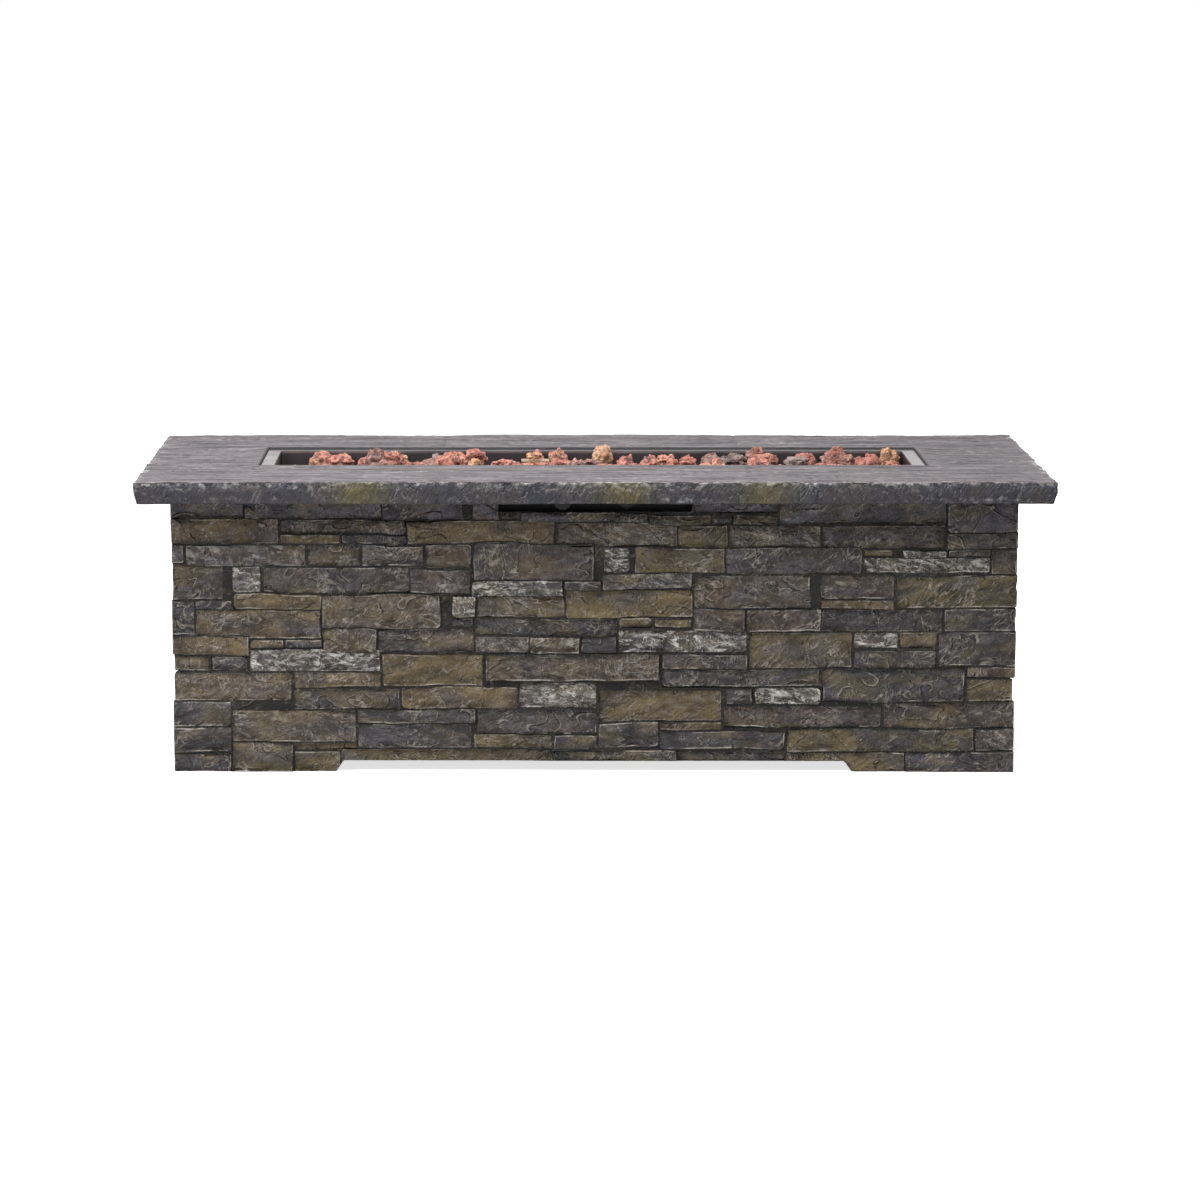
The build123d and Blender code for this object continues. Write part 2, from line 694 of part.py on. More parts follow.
# Air mixer: a bored fitting on the burner inlet, with four air windows, over the orifice elbow
mixer_top = inlet_end + mixer_grip
mixer_bottom = mixer_top - mixer_length
air_mixer = rod((0, 0, mixer_bottom), UP, mixer_radius, mixer_length)
air_mixer -= rod((0, 0, inlet_end), UP, inlet_radius + fit_gap, mixer_grip)
air_mixer -= rod((0, 0, mixer_bottom + mixer_floor), UP, inlet_bore, mixer_length)
air_mixer -= rod((0, 0, mixer_bottom), UP, orifice_radius + fit_gap, mixer_floor)
window_z = mixer_bottom + mixer_floor + mixer_window_lift + mixer_window_height / 2
for turn in mixer_window_turns:
    window = Box(4 * mixer_radius, mixer_window_width, mixer_window_height)
    air_mixer -= Pos(0, 0, window_z) * Rot(0, 0, turn) * window
elbow_z = mixer_bottom - elbow_block / 2
elbow_low = (-elbow_block / 2, -elbow_block / 2, mixer_bottom - elbow_block)
elbow_high = (elbow_block / 2, elbow_block / 2, mixer_bottom)
orifice_elbow = box_between(elbow_low, elbow_high)
orifice_elbow = chamfer(orifice_elbow.edges().filter_by(Axis.Z), elbow_edge)
orifice_elbow += rod((0, 0, mixer_bottom), UP, orifice_radius, mixer_floor)
branch_end = -(elbow_block / 2 + elbow_branch_reach)
orifice_elbow += rod((0, -elbow_block / 2, elbow_z), FRONT, elbow_branch_radius, elbow_branch_reach)
nodes["air_mixer"] = air_mixer
nodes["orifice_elbow"] = orifice_elbow

# Control panel: a black plate that closes the notch from inside and carries the valve and the igniter
panel_low = notch_low - control_panel_lap
panel_half = notch_width / 2 + control_panel_lap
panel_top = field_under - control_panel_top_gap
control_panel = box_between((-panel_half, panel_front, panel_low), (panel_half, panel_back, panel_top))
panel_screws = []
for side in (-1, 1):
    for z in (panel_low + control_panel_lap / 2, panel_top - control_panel_lap / 2):
        seat = (side * (notch_width / 2 + control_panel_lap / 2), panel_back, z)
        hole = screw_hole(seat, FRONT, screw_length + pilot_spare)
        control_panel -= hole
        walls[facing_front] -= hole
        panel_screws.append(screw(seat, FRONT))
for x, nose_radius in ((knob_x, valve_nose_radius), (button_x, igniter_nose_radius)):
    control_panel -= rod((x, panel_back, control_z), FRONT, nose_radius + fit_gap, control_panel_sheet)
nodes["control_panel"] = control_panel
nodes["control_panel_screws"] = panel_screws

# Gas valve: a cast block with a threaded nose, an inlet and an outlet below, and the thermocouple port behind
valve_middle = panel_back + valve_length / 2
valve_under = control_z - valve_height / 2
valve_back = panel_back + valve_length
inlet_x = knob_x - port_spacing / 2
outlet_x = knob_x + port_spacing / 2
boss_end = valve_under - valve_boss_length
outlet_end = boss_end - tube_nut_cover
gas_valve = Pos(knob_x, valve_middle, control_z) * Box(valve_width, valve_length, valve_height)
gas_valve = fillet(gas_valve.edges().filter_by(Axis.Y), valve_edge)
for x in (inlet_x, outlet_x):
    gas_valve += rod((x, valve_middle, boss_end), UP, valve_boss_radius, valve_boss_length + valve_edge)
gas_valve += rod((outlet_x, valve_middle, outlet_end), UP, elbow_branch_radius, tube_nut_cover)
nose_end = panel_front - valve_nut_height - valve_nose_spare
gas_valve += rod((knob_x, panel_back, control_z), FRONT, valve_nose_radius, panel_back - nose_end)
stem_bore = stem_radius + fit_gap
knob_back = panel_front - knob_travel - knob_run_gap
knob_front = knob_back - knob_length
knob_inside = knob_front + knob_face
hub_end = nose_end - knob_travel - knob_run_gap
stem_front = hub_end - stem_grip
stem_back = stem_front + stem_length
bore_end = stem_back + knob_travel + stem_spare
gas_valve -= rod((knob_x, nose_end, control_z), BACK, stem_bore, bore_end - nose_end)
gas_valve -= rod((inlet_x, valve_middle, boss_end), UP, inlet_spud_radius + fit_gap, inlet_spud_length)
nodes["gas_valve_body"] = gas_valve
nodes["valve_nut"] = ring_nut(
    (knob_x, panel_front, control_z), FRONT, valve_nut_flats, valve_nut_height, valve_nose_radius + fit_gap
)

inlet_start = (inlet_x, valve_middle, boss_end)
inlet_pin_start = (inlet_x, valve_middle, boss_end - inlet_hex_height)
inlet_fitting = hexagon(inlet_start, DOWN, inlet_hex_flats, inlet_hex_height)
inlet_fitting += rod(inlet_start, UP, inlet_spud_radius, inlet_spud_length)
inlet_fitting += rod(inlet_pin_start, DOWN, inlet_pin_radius, inlet_pin_length)
nodes["valve_inlet_fitting"] = inlet_fitting

# Feed tube: from the valve's outlet down and back to the orifice elbow, with a nut on each end
feed_points = [
    (outlet_x, valve_middle, outlet_end),
    (outlet_x, valve_middle, elbow_z),
    (0, branch_end - feed_aim, elbow_z),
    (0, branch_end, elbow_z),
]
nodes["gas_feed_tube"] = swept_tube(feed_points, feed_radius, feed_bend)


def tube_nut(end, along):
    """Union nut over the end of a stub, from there out over the tube that leaves it along a direction."""
    lap = tube_nut_cover - tube_nut_gap
    start = tuple(value - step * lap for value, step in zip(end, along))
    nut = hexagon(start, along, tube_nut_flats, tube_nut_length)
    nut -= rod(start, along, elbow_branch_radius + fit_gap, lap)
    return nut - rod(start, along, feed_radius + fit_gap, tube_nut_length)


nodes["feed_tube_nuts"] = [tube_nut(feed_points[0], DOWN), tube_nut(feed_points[-1], FRONT)]

# Knob: a hollow turning grip on the stem, with its return spring and thrust washer inside
nodes["valve_stem"] = rod((knob_x, stem_front, control_z), BACK, stem_radius, stem_length)
knob_axis = (knob_x, knob_front, control_z)
control_knob = rod(knob_axis, BACK, knob_radius, knob_length)
control_knob = chamfer(control_knob.faces().sort_by(Axis.Y)[0].edges(), knob_grip_radius)
for step in range(knob_grip_count):
    turn = 2 * math.pi * step / knob_grip_count
    flute = (knob_x + knob_radius * math.cos(turn), knob_front, control_z + knob_radius * math.sin(turn))
    control_knob -= rod(flute, BACK, knob_grip_radius, knob_flute_length)
control_knob -= rod((knob_x, knob_inside, control_z), BACK, knob_radius - knob_skirt, knob_length)
control_knob += rod((knob_x, knob_inside, control_z), BACK, knob_hub_radius, hub_end - knob_inside)
control_knob -= rod((knob_x, stem_front, control_z), BACK, stem_bore, knob_length)
pointer_low = (knob_x - pointer_width / 2, knob_front - pointer_height, control_z + pointer_inner)
pointer_high = (knob_x + pointer_width / 2, knob_front + knob_face / 2, control_z + pointer_outer)
control_knob += box_between(pointer_low, pointer_high)
nodes["control_knob"] = control_knob
washer_back = knob_inside + washer_thickness
washer = rod((knob_x, knob_inside, control_z), BACK, washer_radius, washer_thickness)
washer -= rod((knob_x, knob_inside, control_z), BACK, knob_hub_radius + fit_gap, washer_thickness)
nodes["knob_thrust_washer"] = washer
nut_front = panel_front - valve_nut_height
nodes["knob_return_spring"] = coil_spring(
    (knob_x, nut_front, control_z), FRONT, nut_front - washer_back,
    knob_spring_radius, knob_spring_wire, knob_spring_turns
)

# Igniter: a push button over a battery in a tubular body, held in the panel by a nut
igniter_nose_end = panel_front - igniter_nut_height - igniter_nose_spare
button_front = igniter_nose_end - button_travel - button_run_gap
button_back = button_front + button_length
battery_front = button_back + igniter_spring_length
battery_back = battery_front + battery_length
igniter_end = battery_back + igniter_back
igniter_body = rod((button_x, panel_back, control_z), BACK, igniter_radius, igniter_end - panel_back)
nose_length = panel_back - igniter_nose_end
igniter_body += rod((button_x, panel_back, control_z), FRONT, igniter_nose_radius, nose_length)
bore_length = battery_back - igniter_nose_end
igniter_body -= rod((button_x, igniter_nose_end, control_z), BACK, igniter_bore, bore_length)
terminal_start = (button_x, igniter_end, control_z)
igniter_body += rod(terminal_start, BACK, igniter_terminal_radius, igniter_terminal_length)
nodes["igniter_body"] = igniter_body
nut_start = (button_x, panel_front, control_z)
nut_bore = igniter_nose_radius + fit_gap
nodes["igniter_nut"] = ring_nut(nut_start, FRONT, igniter_nut_flats, igniter_nut_height, nut_bore)
igniter_button = rod((button_x, button_front, control_z), BACK, button_radius, button_length)
igniter_button = fillet(igniter_button.faces().sort_by(Axis.Y)[0].edges(), button_dome)
nodes["igniter_button"] = igniter_button
nodes["igniter_battery"] = rod((button_x, battery_front, control_z), BACK, battery_radius, battery_length)
nodes["igniter_spring"] = coil_spring(
    (button_x, battery_front, control_z), FRONT, igniter_spring_length,
    igniter_spring_radius, igniter_spring_wire, igniter_spring_turns
)

# Pilot group: a folded hood over the spark electrode and the thermocouple, which stand through the pan floor
hood_half = hood_width / 2
hood_y0, hood_y1 = hood_offset - hood_depth / 2, hood_offset + hood_depth / 2
hood_top = table_height
profile = Pos(0, (pan_floor + hood_top) / 2) * Rectangle(hood_width, hood_top - pan_floor)
hood_room = Rectangle(hood_width - 2 * hood_sheet, hood_top - pan_floor)
profile -= Pos(0, (pan_floor + hood_top) / 2 - hood_sheet) * hood_room
for side in (-1, 1):
    foot_middle = side * (hood_half + hood_foot / 2)
    profile += Pos(foot_middle, pan_floor + hood_sheet / 2) * Rectangle(hood_foot, hood_sheet)
hood_place = Plane(origin=(hood_station, hood_y1, 0), x_dir=(1, 0, 0), z_dir=FRONT)
pilot_hood = hood_place * extrude(profile, hood_depth)
hood_screws = []
for side in (-1, 1):
    seat = (hood_station + side * (hood_half + hood_screw_reach), hood_offset, pan_floor + hood_sheet)
    hole = screw_hole(seat, DOWN, hood_sheet + pan_sheet)
    pilot_hood -= hole
    fire_pan -= hole
    hood_screws.append(screw(seat, DOWN, hood_sheet + pan_sheet + self_tapper_reach))
nodes["pilot_hood"] = pilot_hood
nodes["pilot_hood_screws"] = hood_screws

spark_x = hood_station - pilot_spacing / 2
probe_x = hood_station + pilot_spacing / 2
pilot_bottom = pan_under - insulator_below
insulator = rod((spark_x, hood_offset, pilot_bottom), UP, insulator_radius, insulator_length)
insulator += rod((spark_x, hood_offset, pan_floor), UP, collar_radius, collar_height)
spark_start = pilot_bottom + insulator_length / 2
insulator -= rod((spark_x, hood_offset, spark_start), UP, electrode_radius, insulator_length)
nodes["electrode_insulator"] = insulator
electrode_length = hood_top - hood_sheet - electrode_gap - spark_start
nodes["spark_electrode"] = rod((spark_x, hood_offset, spark_start), UP, electrode_radius, electrode_length)
probe_length = hood_top - hood_sheet - probe_gap - pilot_bottom
probe = rod((probe_x, hood_offset, pilot_bottom), UP, probe_radius, probe_length)
probe = fillet(probe.faces().sort_by(Axis.Z)[-1].edges(), probe_round)
probe += rod((probe_x, hood_offset, pan_floor), UP, collar_radius, collar_height)
nodes["thermocouple_probe"] = probe
fire_pan -= rod((spark_x, hood_offset, pan_under), UP, insulator_radius + fit_gap, pan_sheet)
fire_pan -= rod((probe_x, hood_offset, pan_under), UP, probe_radius + fit_gap, pan_sheet)
nodes["fire_pan"] = fire_pan

# Leads: igniter to electrode, and thermocouple to valve, both running below the pan and the shield
lead_level = shield_low - lead_bend
spark_out = igniter_end + igniter_terminal_length
spark_points = [
    (button_x, spark_out, control_z),
    (button_x, spark_out + lead_out, control_z),
    (button_x, spark_out + lead_out, lead_level),
    (spark_x, hood_offset, lead_level),
    (spark_x, hood_offset, pilot_bottom),
]
nodes["spark_lead"] = swept_tube(spark_points, spark_lead_radius, lead_bend)
thermo_level = lead_level - lead_spacing
thermo_points = [
    (probe_x, hood_offset, pilot_bottom),
    (probe_x, hood_offset, thermo_level),
    (knob_x, valve_back + lead_out, thermo_level),
    (knob_x, valve_back + lead_out, control_z),
    (knob_x, valve_back, control_z),
]
nodes["thermocouple_lead"] = swept_tube(thermo_points, thermo_lead_radius, lead_bend)

# Lava rocks: broken lumps, each in its own cell of the bed, in rows beside the burner and along its top


def rock(chance, low, high):
    """Lump inside a box: a flat foot, a wide waist and a smaller leaning top, with random corners."""
    centre = [(a + b) / 2 for a, b in zip(low, high)]
    half = [(b - a) / 2 for a, b in zip(low, high)]
    waist = low[2] + (high[2] - low[2]) * chance.uniform(0.4, 0.6)
    turn = chance.uniform(0, math.pi)
    lean = [chance.uniform(-1, 1) * rock_lean for _ in range(2)]
    top = high[2] - abs(lean[0]) * half[0] - abs(lean[1]) * half[1]
    rings = []
    for level, fills in ((low[2], rock_foot_fill), (waist, rock_waist_fill), (top, rock_top_fill)):
        ring = []
        for side in range(rock_sides):
            angle = turn + 2 * math.pi * (side + chance.uniform(-0.25, 0.25)) / rock_sides
            aim_x, aim_y = math.cos(angle), math.sin(angle)
            fill = (abs(aim_x) ** rock_squareness + abs(aim_y) ** rock_squareness) ** (-1 / rock_squareness)
            reach = chance.uniform(*fills) * fill
            x, y = half[0] * reach * aim_x, half[1] * reach * aim_y
            rise = lean[0] * x + lean[1] * y if level == top else 0
            ring.append(Vector(centre[0] + x, centre[1] + y, level + rise))
        rings.append(ring)
    faces = [rings[0][::-1], rings[-1]]
    for lower, upper in zip(rings, rings[1:]):
        for side in range(rock_sides):
            after = (side + 1) % rock_sides
            faces.append([lower[side], lower[after], upper[after]])
            faces.append([lower[side], upper[after], upper[side]])
    return polyhedron(faces)


def fill_row(chance, cell_of):
    """Rocks of uneven length side by side along one row of the bed.

    The row's function takes a stretch of the row and gives its two sides and its floor, or nothing.
    """
    bed_length = pan_length - 2 * rock_gap
    shares = [chance.uniform(0.7, 1.3) for _ in range(round(bed_length / rock_pitch))]
    x1 = -bed_length / 2
    rocks = []
    for share in shares:
        x0, x1 = x1, x1 + bed_length * share / sum(shares)
        top = chance.uniform(table_height - rock_fall, table_height + rock_rise)
        cell = cell_of(x0, x1)
        if cell:
            y0, y1, floor = cell
            top = max(top, floor + rock_least_height)
            rocks.append(rock(chance, (x0 + rock_gap / 2, y0, floor), (x1 - rock_gap / 2, y1, top)))
    return rocks


def side_cell(side, near, far, x0, x1):
    """Cell of a row beside the burner: clear of the saddles' feet, and none where the pilot hood stands."""
    hood_reach = hood_half + hood_foot + rock_gap
    if side < 0 and x1 > hood_station - hood_reach and x0 < hood_station + hood_reach:
        return None
    over_foot = any(x0 - saddle_width / 2 < station < x1 + saddle_width / 2 for station in saddle_stations)
    if over_foot:
        near = max(near, foot_out + rock_gap)
    return min(side * near, side * far), max(side * near, side * far), pan_floor


def middle_cell(x0, x1):
    """Cell of the middle row: on top of the burner, on the floor past its ends, and none across an end."""
    burner_end = burner_length / 2
    if x0 < -burner_end < x1 or x0 < burner_end < x1:
        return None
    over_burner = -burner_end < x0 and x1 < burner_end
    floor = burner_z + burner_radius + rock_seat_gap if over_burner else pan_floor
    return -middle_rock_half_width, middle_rock_half_width, floor


chance = random.Random(21)
bed_half = pan_width / 2 - rock_gap
row_inner = middle_rock_half_width + rock_gap
row_split = (row_inner + bed_half) / 2
rocks = fill_row(chance, middle_cell)
for side in (-1, 1):
    for near, far in ((row_inner, row_split - rock_gap / 2), (row_split + rock_gap / 2, bed_half)):
        rocks += fill_row(chance, lambda x0, x1: side_cell(side, near, far, x0, x1))
hood_rock_low = (hood_station - hood_rock_width / 2, hood_y1 - hood_rock_depth, hood_top + rock_seat_gap)
hood_rock_high = (hood_station + hood_rock_width / 2, hood_y1, table_height + rock_rise)
rocks.append(rock(chance, hood_rock_low, hood_rock_high))
colours = [chance.choice(("red", "red", "brown", "tan")) for _ in rocks]
for colour in ("red", "brown", "tan"):
    nodes["lava_rocks_" + colour] = [lump for lump, its_colour in zip(rocks, colours) if its_colour == colour]

nodes["front_wall"] = walls[facing_front]
nodes["back_wall"] = walls[facing_back]
nodes["left_end_wall"] = walls[facing_left]
nodes["right_end_wall"] = walls[facing_right]

for name, shape in nodes.items():
    solids = shape if isinstance(shape, list) else shape.solids()
    solids = [solid for item in solids for solid in item.solids()]
    export_step(solids[0] if len(solids) == 1 else Compound(solids), f"parts/{name}.step")
print("nodes", len(nodes))
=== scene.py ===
import math

import bpy
import numpy as np
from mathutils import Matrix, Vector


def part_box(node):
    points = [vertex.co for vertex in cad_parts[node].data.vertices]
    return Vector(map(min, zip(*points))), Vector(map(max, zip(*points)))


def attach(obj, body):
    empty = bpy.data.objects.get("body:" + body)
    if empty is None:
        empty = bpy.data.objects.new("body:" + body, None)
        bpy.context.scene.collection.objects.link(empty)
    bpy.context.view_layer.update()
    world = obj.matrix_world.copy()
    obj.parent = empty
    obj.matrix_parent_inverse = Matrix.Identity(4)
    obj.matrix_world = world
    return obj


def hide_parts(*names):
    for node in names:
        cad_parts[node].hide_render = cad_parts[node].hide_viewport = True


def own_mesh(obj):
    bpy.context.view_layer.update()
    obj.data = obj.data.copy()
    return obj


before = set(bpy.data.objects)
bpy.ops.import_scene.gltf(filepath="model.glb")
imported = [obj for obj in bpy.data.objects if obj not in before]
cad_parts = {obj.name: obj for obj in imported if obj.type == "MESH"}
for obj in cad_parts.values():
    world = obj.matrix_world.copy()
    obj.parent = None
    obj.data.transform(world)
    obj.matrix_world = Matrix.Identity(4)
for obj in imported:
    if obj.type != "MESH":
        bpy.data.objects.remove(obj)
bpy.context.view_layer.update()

# Base walls: four castings of light glass-fibre concrete, from moulds taken off stacked slate.
# A flat slab carries the stones, which stand out of it by up to 12 mm and nearly meet in tight dark joints.
# Each stone is stained by hand: slate greys, olives and tans run together, with a few of pale quartz.
MM = 0.001
slab_thickness, mortar_depth = 12 * MM, 5 * MM
stone_root, root_spread = 2 * MM, 0.6 * MM
face_draft, joint_fill, joint_reach = 0.22, 1.3 * MM, 9 * MM
stone_pitch = 3.4 * MM
edge_steps = np.array([0.0, 0.6, 1.5, 3.0, 5.2]) * MM
corner_arcs, arc_shares = np.array([1.0, 2.0, 3.5, 8.0]) * MM, (0.35, 0.35, 0.2, 0.1)
nibble_depth, nibble_reach = 2.4 * MM, 7 * MM
roll_mm, roll_reach = 2.0, 6 * MM
chip_mm, chip_reach = 2.6, (2 * MM, 12 * MM)
set_back_mm, least_out = 4, 1.2 * MM
split_layers, layer_mm, grit_mm, facet_share = 2.6, 1.2, 0.9, 1.2
wall_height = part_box("front_wall")[1][2]
arch_half, arch_slant, arch_height = 405.5 * MM, 12 * MM, 17 * MM
hair = 0.1 * MM


def scatter(cells, seed):
    """Random number from 0 to 1 for each whole-numbered cell: its indices mixed by large odd multipliers."""
    mixed = cells[..., 0] * 374761393 + cells[..., 1] * 668265263 + cells[..., 2] * 2147483647
    mixed = (mixed + seed * 974711 & 0xFFFFFFFF).astype(np.uint32)
    for shift in (13, 17, 5):
        mixed = (mixed ^ (mixed >> np.uint32(shift))) * np.uint32(1274126177)
    return (mixed >> np.uint32(8)) / 2.0**24


def noise(points, seed):
    """Smooth noise from -1 to 1: random numbers at the corners of unit cells, blended by a smooth step."""
    cells = np.floor(points).astype(np.int64)
    share = points - cells
    share = share**3 * (share * (share * 6 - 15) + 10)
    total = 0
    for corner in np.ndindex(2, 2, 2):
        weight = np.where(np.array(corner, bool), share, 1 - share).prod(axis=-1)
        total = total + weight * scatter(cells + np.array(corner), seed)
    return 2 * total - 1


def rough_noise(points, seed, octaves):
    """Noise with finer noise added on top, each layer twice as fine and half as strong as the last."""
    layers = [noise(points * 2**layer, seed + layer) / 2**layer for layer in range(octaves)]
    return sum(layers) / (2 - 2.0 ** (1 - octaves))


def smooth_step(values, low, high):
    """0 below the low value, 1 above the high one, and a smooth rise between them."""
    share = np.clip((values - low) / (high - low), 0, 1)
    return share * share * (3 - 2 * share)


def terraced(values, rise_from):
    """Values cut into whole steps, each flat at first, then rising to the next from a share of its length."""
    whole = np.floor(values)
    return whole + smooth_step(values - whole, rise_from, 1.0)


def spread(*parts):
    """Arrays that differ in shape, stacked along a last axis after stretching to one shape."""
    return np.stack(np.broadcast_arrays(*parts), axis=-1)


def in_cells(along, along_mm, up, up_mm, layer):
    """Places on a face for a noise, counted in cells of so many millimetres, on a layer of the noise."""
    return spread(along / (along_mm * MM), up / (up_mm * MM), np.array(layer))


def node_arrays(node):
    """Corner points of a CAD node, merged where they meet, and its triangles."""
    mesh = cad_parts[node].data
    mesh.calc_loop_triangles()
    points = np.empty(len(mesh.vertices) * 3, np.float32)
    mesh.vertices.foreach_get("co", points)
    triangles = np.empty(len(mesh.loop_triangles) * 3, np.int32)
    mesh.loop_triangles.foreach_get("vertices", triangles)
    merged, place = np.unique(points.reshape(-1, 3).round(6), axis=0, return_inverse=True)
    return merged.astype(float), place.reshape(-1)[triangles].reshape(-1, 3)


def islands(count, triangles):
    """Label for each corner point: the least index among all points that its triangles connect it to."""
    labels = np.arange(count)
    while True:
        reached = labels.copy()
        np.minimum.at(reached, triangles.ravel(), np.repeat(labels[triangles].min(axis=1), 3))
        if np.array_equal(reached, labels):
            return labels
        labels = reached


def grid_faces(index):
    """Four-cornered faces between neighbouring rows and columns of a grid of point indices."""
    return spread(index[:-1, :-1], index[:-1, 1:], index[1:, 1:], index[1:, :-1]).reshape(-1, 4)


def linear(code):
    """Linear colour, with full alpha, of an sRGB hex code."""
    values = np.array([int(code[i:i + 2], 16) / 255 for i in (1, 3, 5)])
    values = np.where(values <= 0.04045, values / 12.92, ((values + 0.055) / 1.055) ** 2.4)
    return (*values, 1.0)


def add(tree, kind, give=0, inputs=(), **settings):
    """Adds a shader node with its settings, links or fills its inputs by identifier, and gives an output."""
    node = tree.nodes.new("ShaderNode" + kind)
    for name, value in settings.items():
        setattr(node, name, value)
    sockets = {socket.identifier: socket for socket in node.inputs}
    for name, value in dict(inputs).items():
        if isinstance(value, bpy.types.NodeSocket):
            tree.links.new(value, sockets[name])
        else:
            sockets[name].default_value = value
    given = {socket.identifier: socket for socket in node.outputs}
    return given[give] if give in given else node.outputs[give]


def new_material(name):
    """Empty material with its output node: gives the material, its tree and the output's surface socket."""
    material = bpy.data.materials.new(name)
    material.use_nodes = True
    material.node_tree.nodes.clear()
    output = material.node_tree.nodes.new("ShaderNodeOutputMaterial")
    return material, material.node_tree, output.inputs["Surface"]


def per_mm(size):
    """Texture scale that makes a pattern's features about this many millimetres wide."""
    return 1 / (size * MM)


def add_piece(name, points, faces, material, attributes=(), flat=()):
    """New piece from its points and faces, smooth but for the flat ones.

    Its attributes hold a number, a vector or a colour for each point, told apart by their length.
    """
    kinds = {1: ("FLOAT", "value"), 3: ("FLOAT_VECTOR", "vector"), 4: ("FLOAT_COLOR", "color")}
    mesh = bpy.data.meshes.new(name)
    mesh.from_pydata(np.asarray(points).tolist(), [], faces)
    smooth = np.ones(len(faces), bool)
    smooth[list(flat)] = False
    mesh.polygons.foreach_set("use_smooth", smooth)
    for key, data in dict(attributes).items():
        kind, field = kinds[data.size // len(points)]
        layer = mesh.attributes.new(key, kind, "POINT")
        layer.data.foreach_set(field, np.asarray(data, np.float32).ravel())
    mesh.materials.append(material)
    piece = bpy.data.objects.new(name, mesh)
    bpy.context.scene.collection.objects.link(piece)
    return piece


def edge_to_edge(length):
    """Distances across a stone: its root just outside, close steps over each edge, even ones between."""
    edge = edge_steps * min(1, length / (3 * edge_steps[-1]))
    count = max(3, round((length - 2 * edge[-1]) / stone_pitch) + 1)
    middle = np.linspace(edge[-1], length - edge[-1], count)[1:-1]
    return np.concatenate([[-root_spread], edge, middle, (length - edge)[::-1], [length + root_spread]])


def stone_patch(corners, rough, number):
    """One stone on a grid, as (along, up, out): its four corners blended both ways, with cleft relief.

    The grid sinks into the joint at its border and rolls over the edge, and its corners are drawn in to arcs.
    A noise that all stones share bends their outlines, so that joints wander together, and a noise of its own
    nibbles each edge. Relief is noise drawn out along the bed and cut into steps, as slate splits. Also gives
    how near the joint each point lies and its place in the stone's own bed, for the grain of its finish.
    """
    chance = np.random.default_rng(number)
    own = number * 0.37
    width = np.linalg.norm(corners[:, 1, :2] - corners[:, 0, :2], axis=1).mean()
    height = np.linalg.norm(corners[1, :, :2] - corners[0, :, :2], axis=1).mean()
    grow = face_draft * corners[..., 2].mean() + joint_fill
    across, rise = edge_to_edge(width + 2 * grow)[None, :], edge_to_edge(height + 2 * grow)[:, None]
    aside = np.where(across < width / 2 + grow, 1, -1)
    above = np.where(rise < height / 2 + grow, 1, -1)
    near_x = np.minimum(across, width + 2 * grow - across)
    near_y = np.minimum(rise, height + 2 * grow - rise)
    inside = np.minimum(near_x, near_y)

    arcs = chance.choice(corner_arcs, (2, 2), p=arc_shares)
    arcs = np.minimum(arcs, 0.42 * (min(width, height) + 2 * grow))
    arc = arcs[(above < 0).astype(int), (aside < 0).astype(int)]
    past_x, past_y = np.maximum(arc - near_x, 0), np.maximum(arc - near_y, 0)
    draw = 1 - np.maximum(past_x, past_y) / np.maximum(np.hypot(past_x, past_y), 1e-9)
    draw = np.where((past_x > 0) & (past_y > 0), draw, 0)
    bites = np.maximum(0, rough_noise(in_cells(across, 17, rise, 17, own), 19, 2) - 0.25)
    bite = nibble_depth * bites * (1 - smooth_step(inside, 0, nibble_reach))
    s = across - grow + aside * (draw * past_x + bite)
    t = rise - grow + above * (draw * past_y + 0.8 * bite)

    u, v = (s / width)[..., None], (t / height)[..., None]
    low = corners[0, 0] * (1 - u) + corners[0, 1] * u
    high = corners[1, 0] * (1 - u) + corners[1, 1] * u
    along, up, out = np.moveaxis(low * (1 - v) + high * v, -1, 0)
    out = out - chance.uniform(0, set_back_mm) * MM
    held = smooth_step(up, 2 * MM, 22 * MM) * smooth_step(wall_height - up, 0, 14 * MM)
    slow, quick = in_cells(along, 75, up, 60, 0.37), in_cells(along, 21, up, 21, 0.61)
    bent_along = along + (2.4 * noise(slow, 31) + 1.1 * noise(quick, 33)) * MM
    bent_up = up + (3.0 * noise(slow, 57) + 1.0 * noise(quick, 59)) * MM * held

    turn = chance.uniform(-0.4, 0.25)
    grain = along * math.cos(turn) + up * math.sin(turn)
    cross = up * math.cos(turn) - along * math.sin(turn)
    planes = chance.uniform((0, 0, -0.03, -0.16, 0), (1, 1, 0.03, 0.16, 1.6), (int(chance.integers(3, 7)), 5))
    facets = [(u[..., 0] - a) * width * e + (v[..., 0] - b) * height * f + g * MM for a, b, e, f, g in planes]
    facet = np.clip(np.min(facets, axis=0), -5 * MM, 2 * MM) / MM
    cleft = rough_noise(in_cells(grain, 70, cross, 26, own), 5, 3)
    step = cleft * split_layers + chance.uniform(0, 1)
    layers = terraced(step, 0.6) - step.mean()
    grit = rough_noise(in_cells(grain, 9, cross, 6, own), 13, 2)
    flake = smooth_step(noise(in_cells(along, 30, up, 22, own), 17), 0.15, 0.45)
    roll = (1 - np.clip(inside / roll_reach, 0, 1)) ** 2 * roll_mm
    chip = flake * (1 - smooth_step(inside, *chip_reach)) * chip_mm
    rugged = rough * (layer_mm * layers + grit_mm * grit) + facet_share * facet - chip
    relief = rugged * smooth_step(inside, -1 * MM, 4 * MM) - roll
    out = np.where(inside < 0, -stone_root, np.maximum(out + relief * MM, least_out))
    joint = np.clip(1 - inside / joint_reach, 0, 1)
    bed = spread(grain, cross, np.array(own))
    return spread(bent_along, bent_up, out), joint, bed


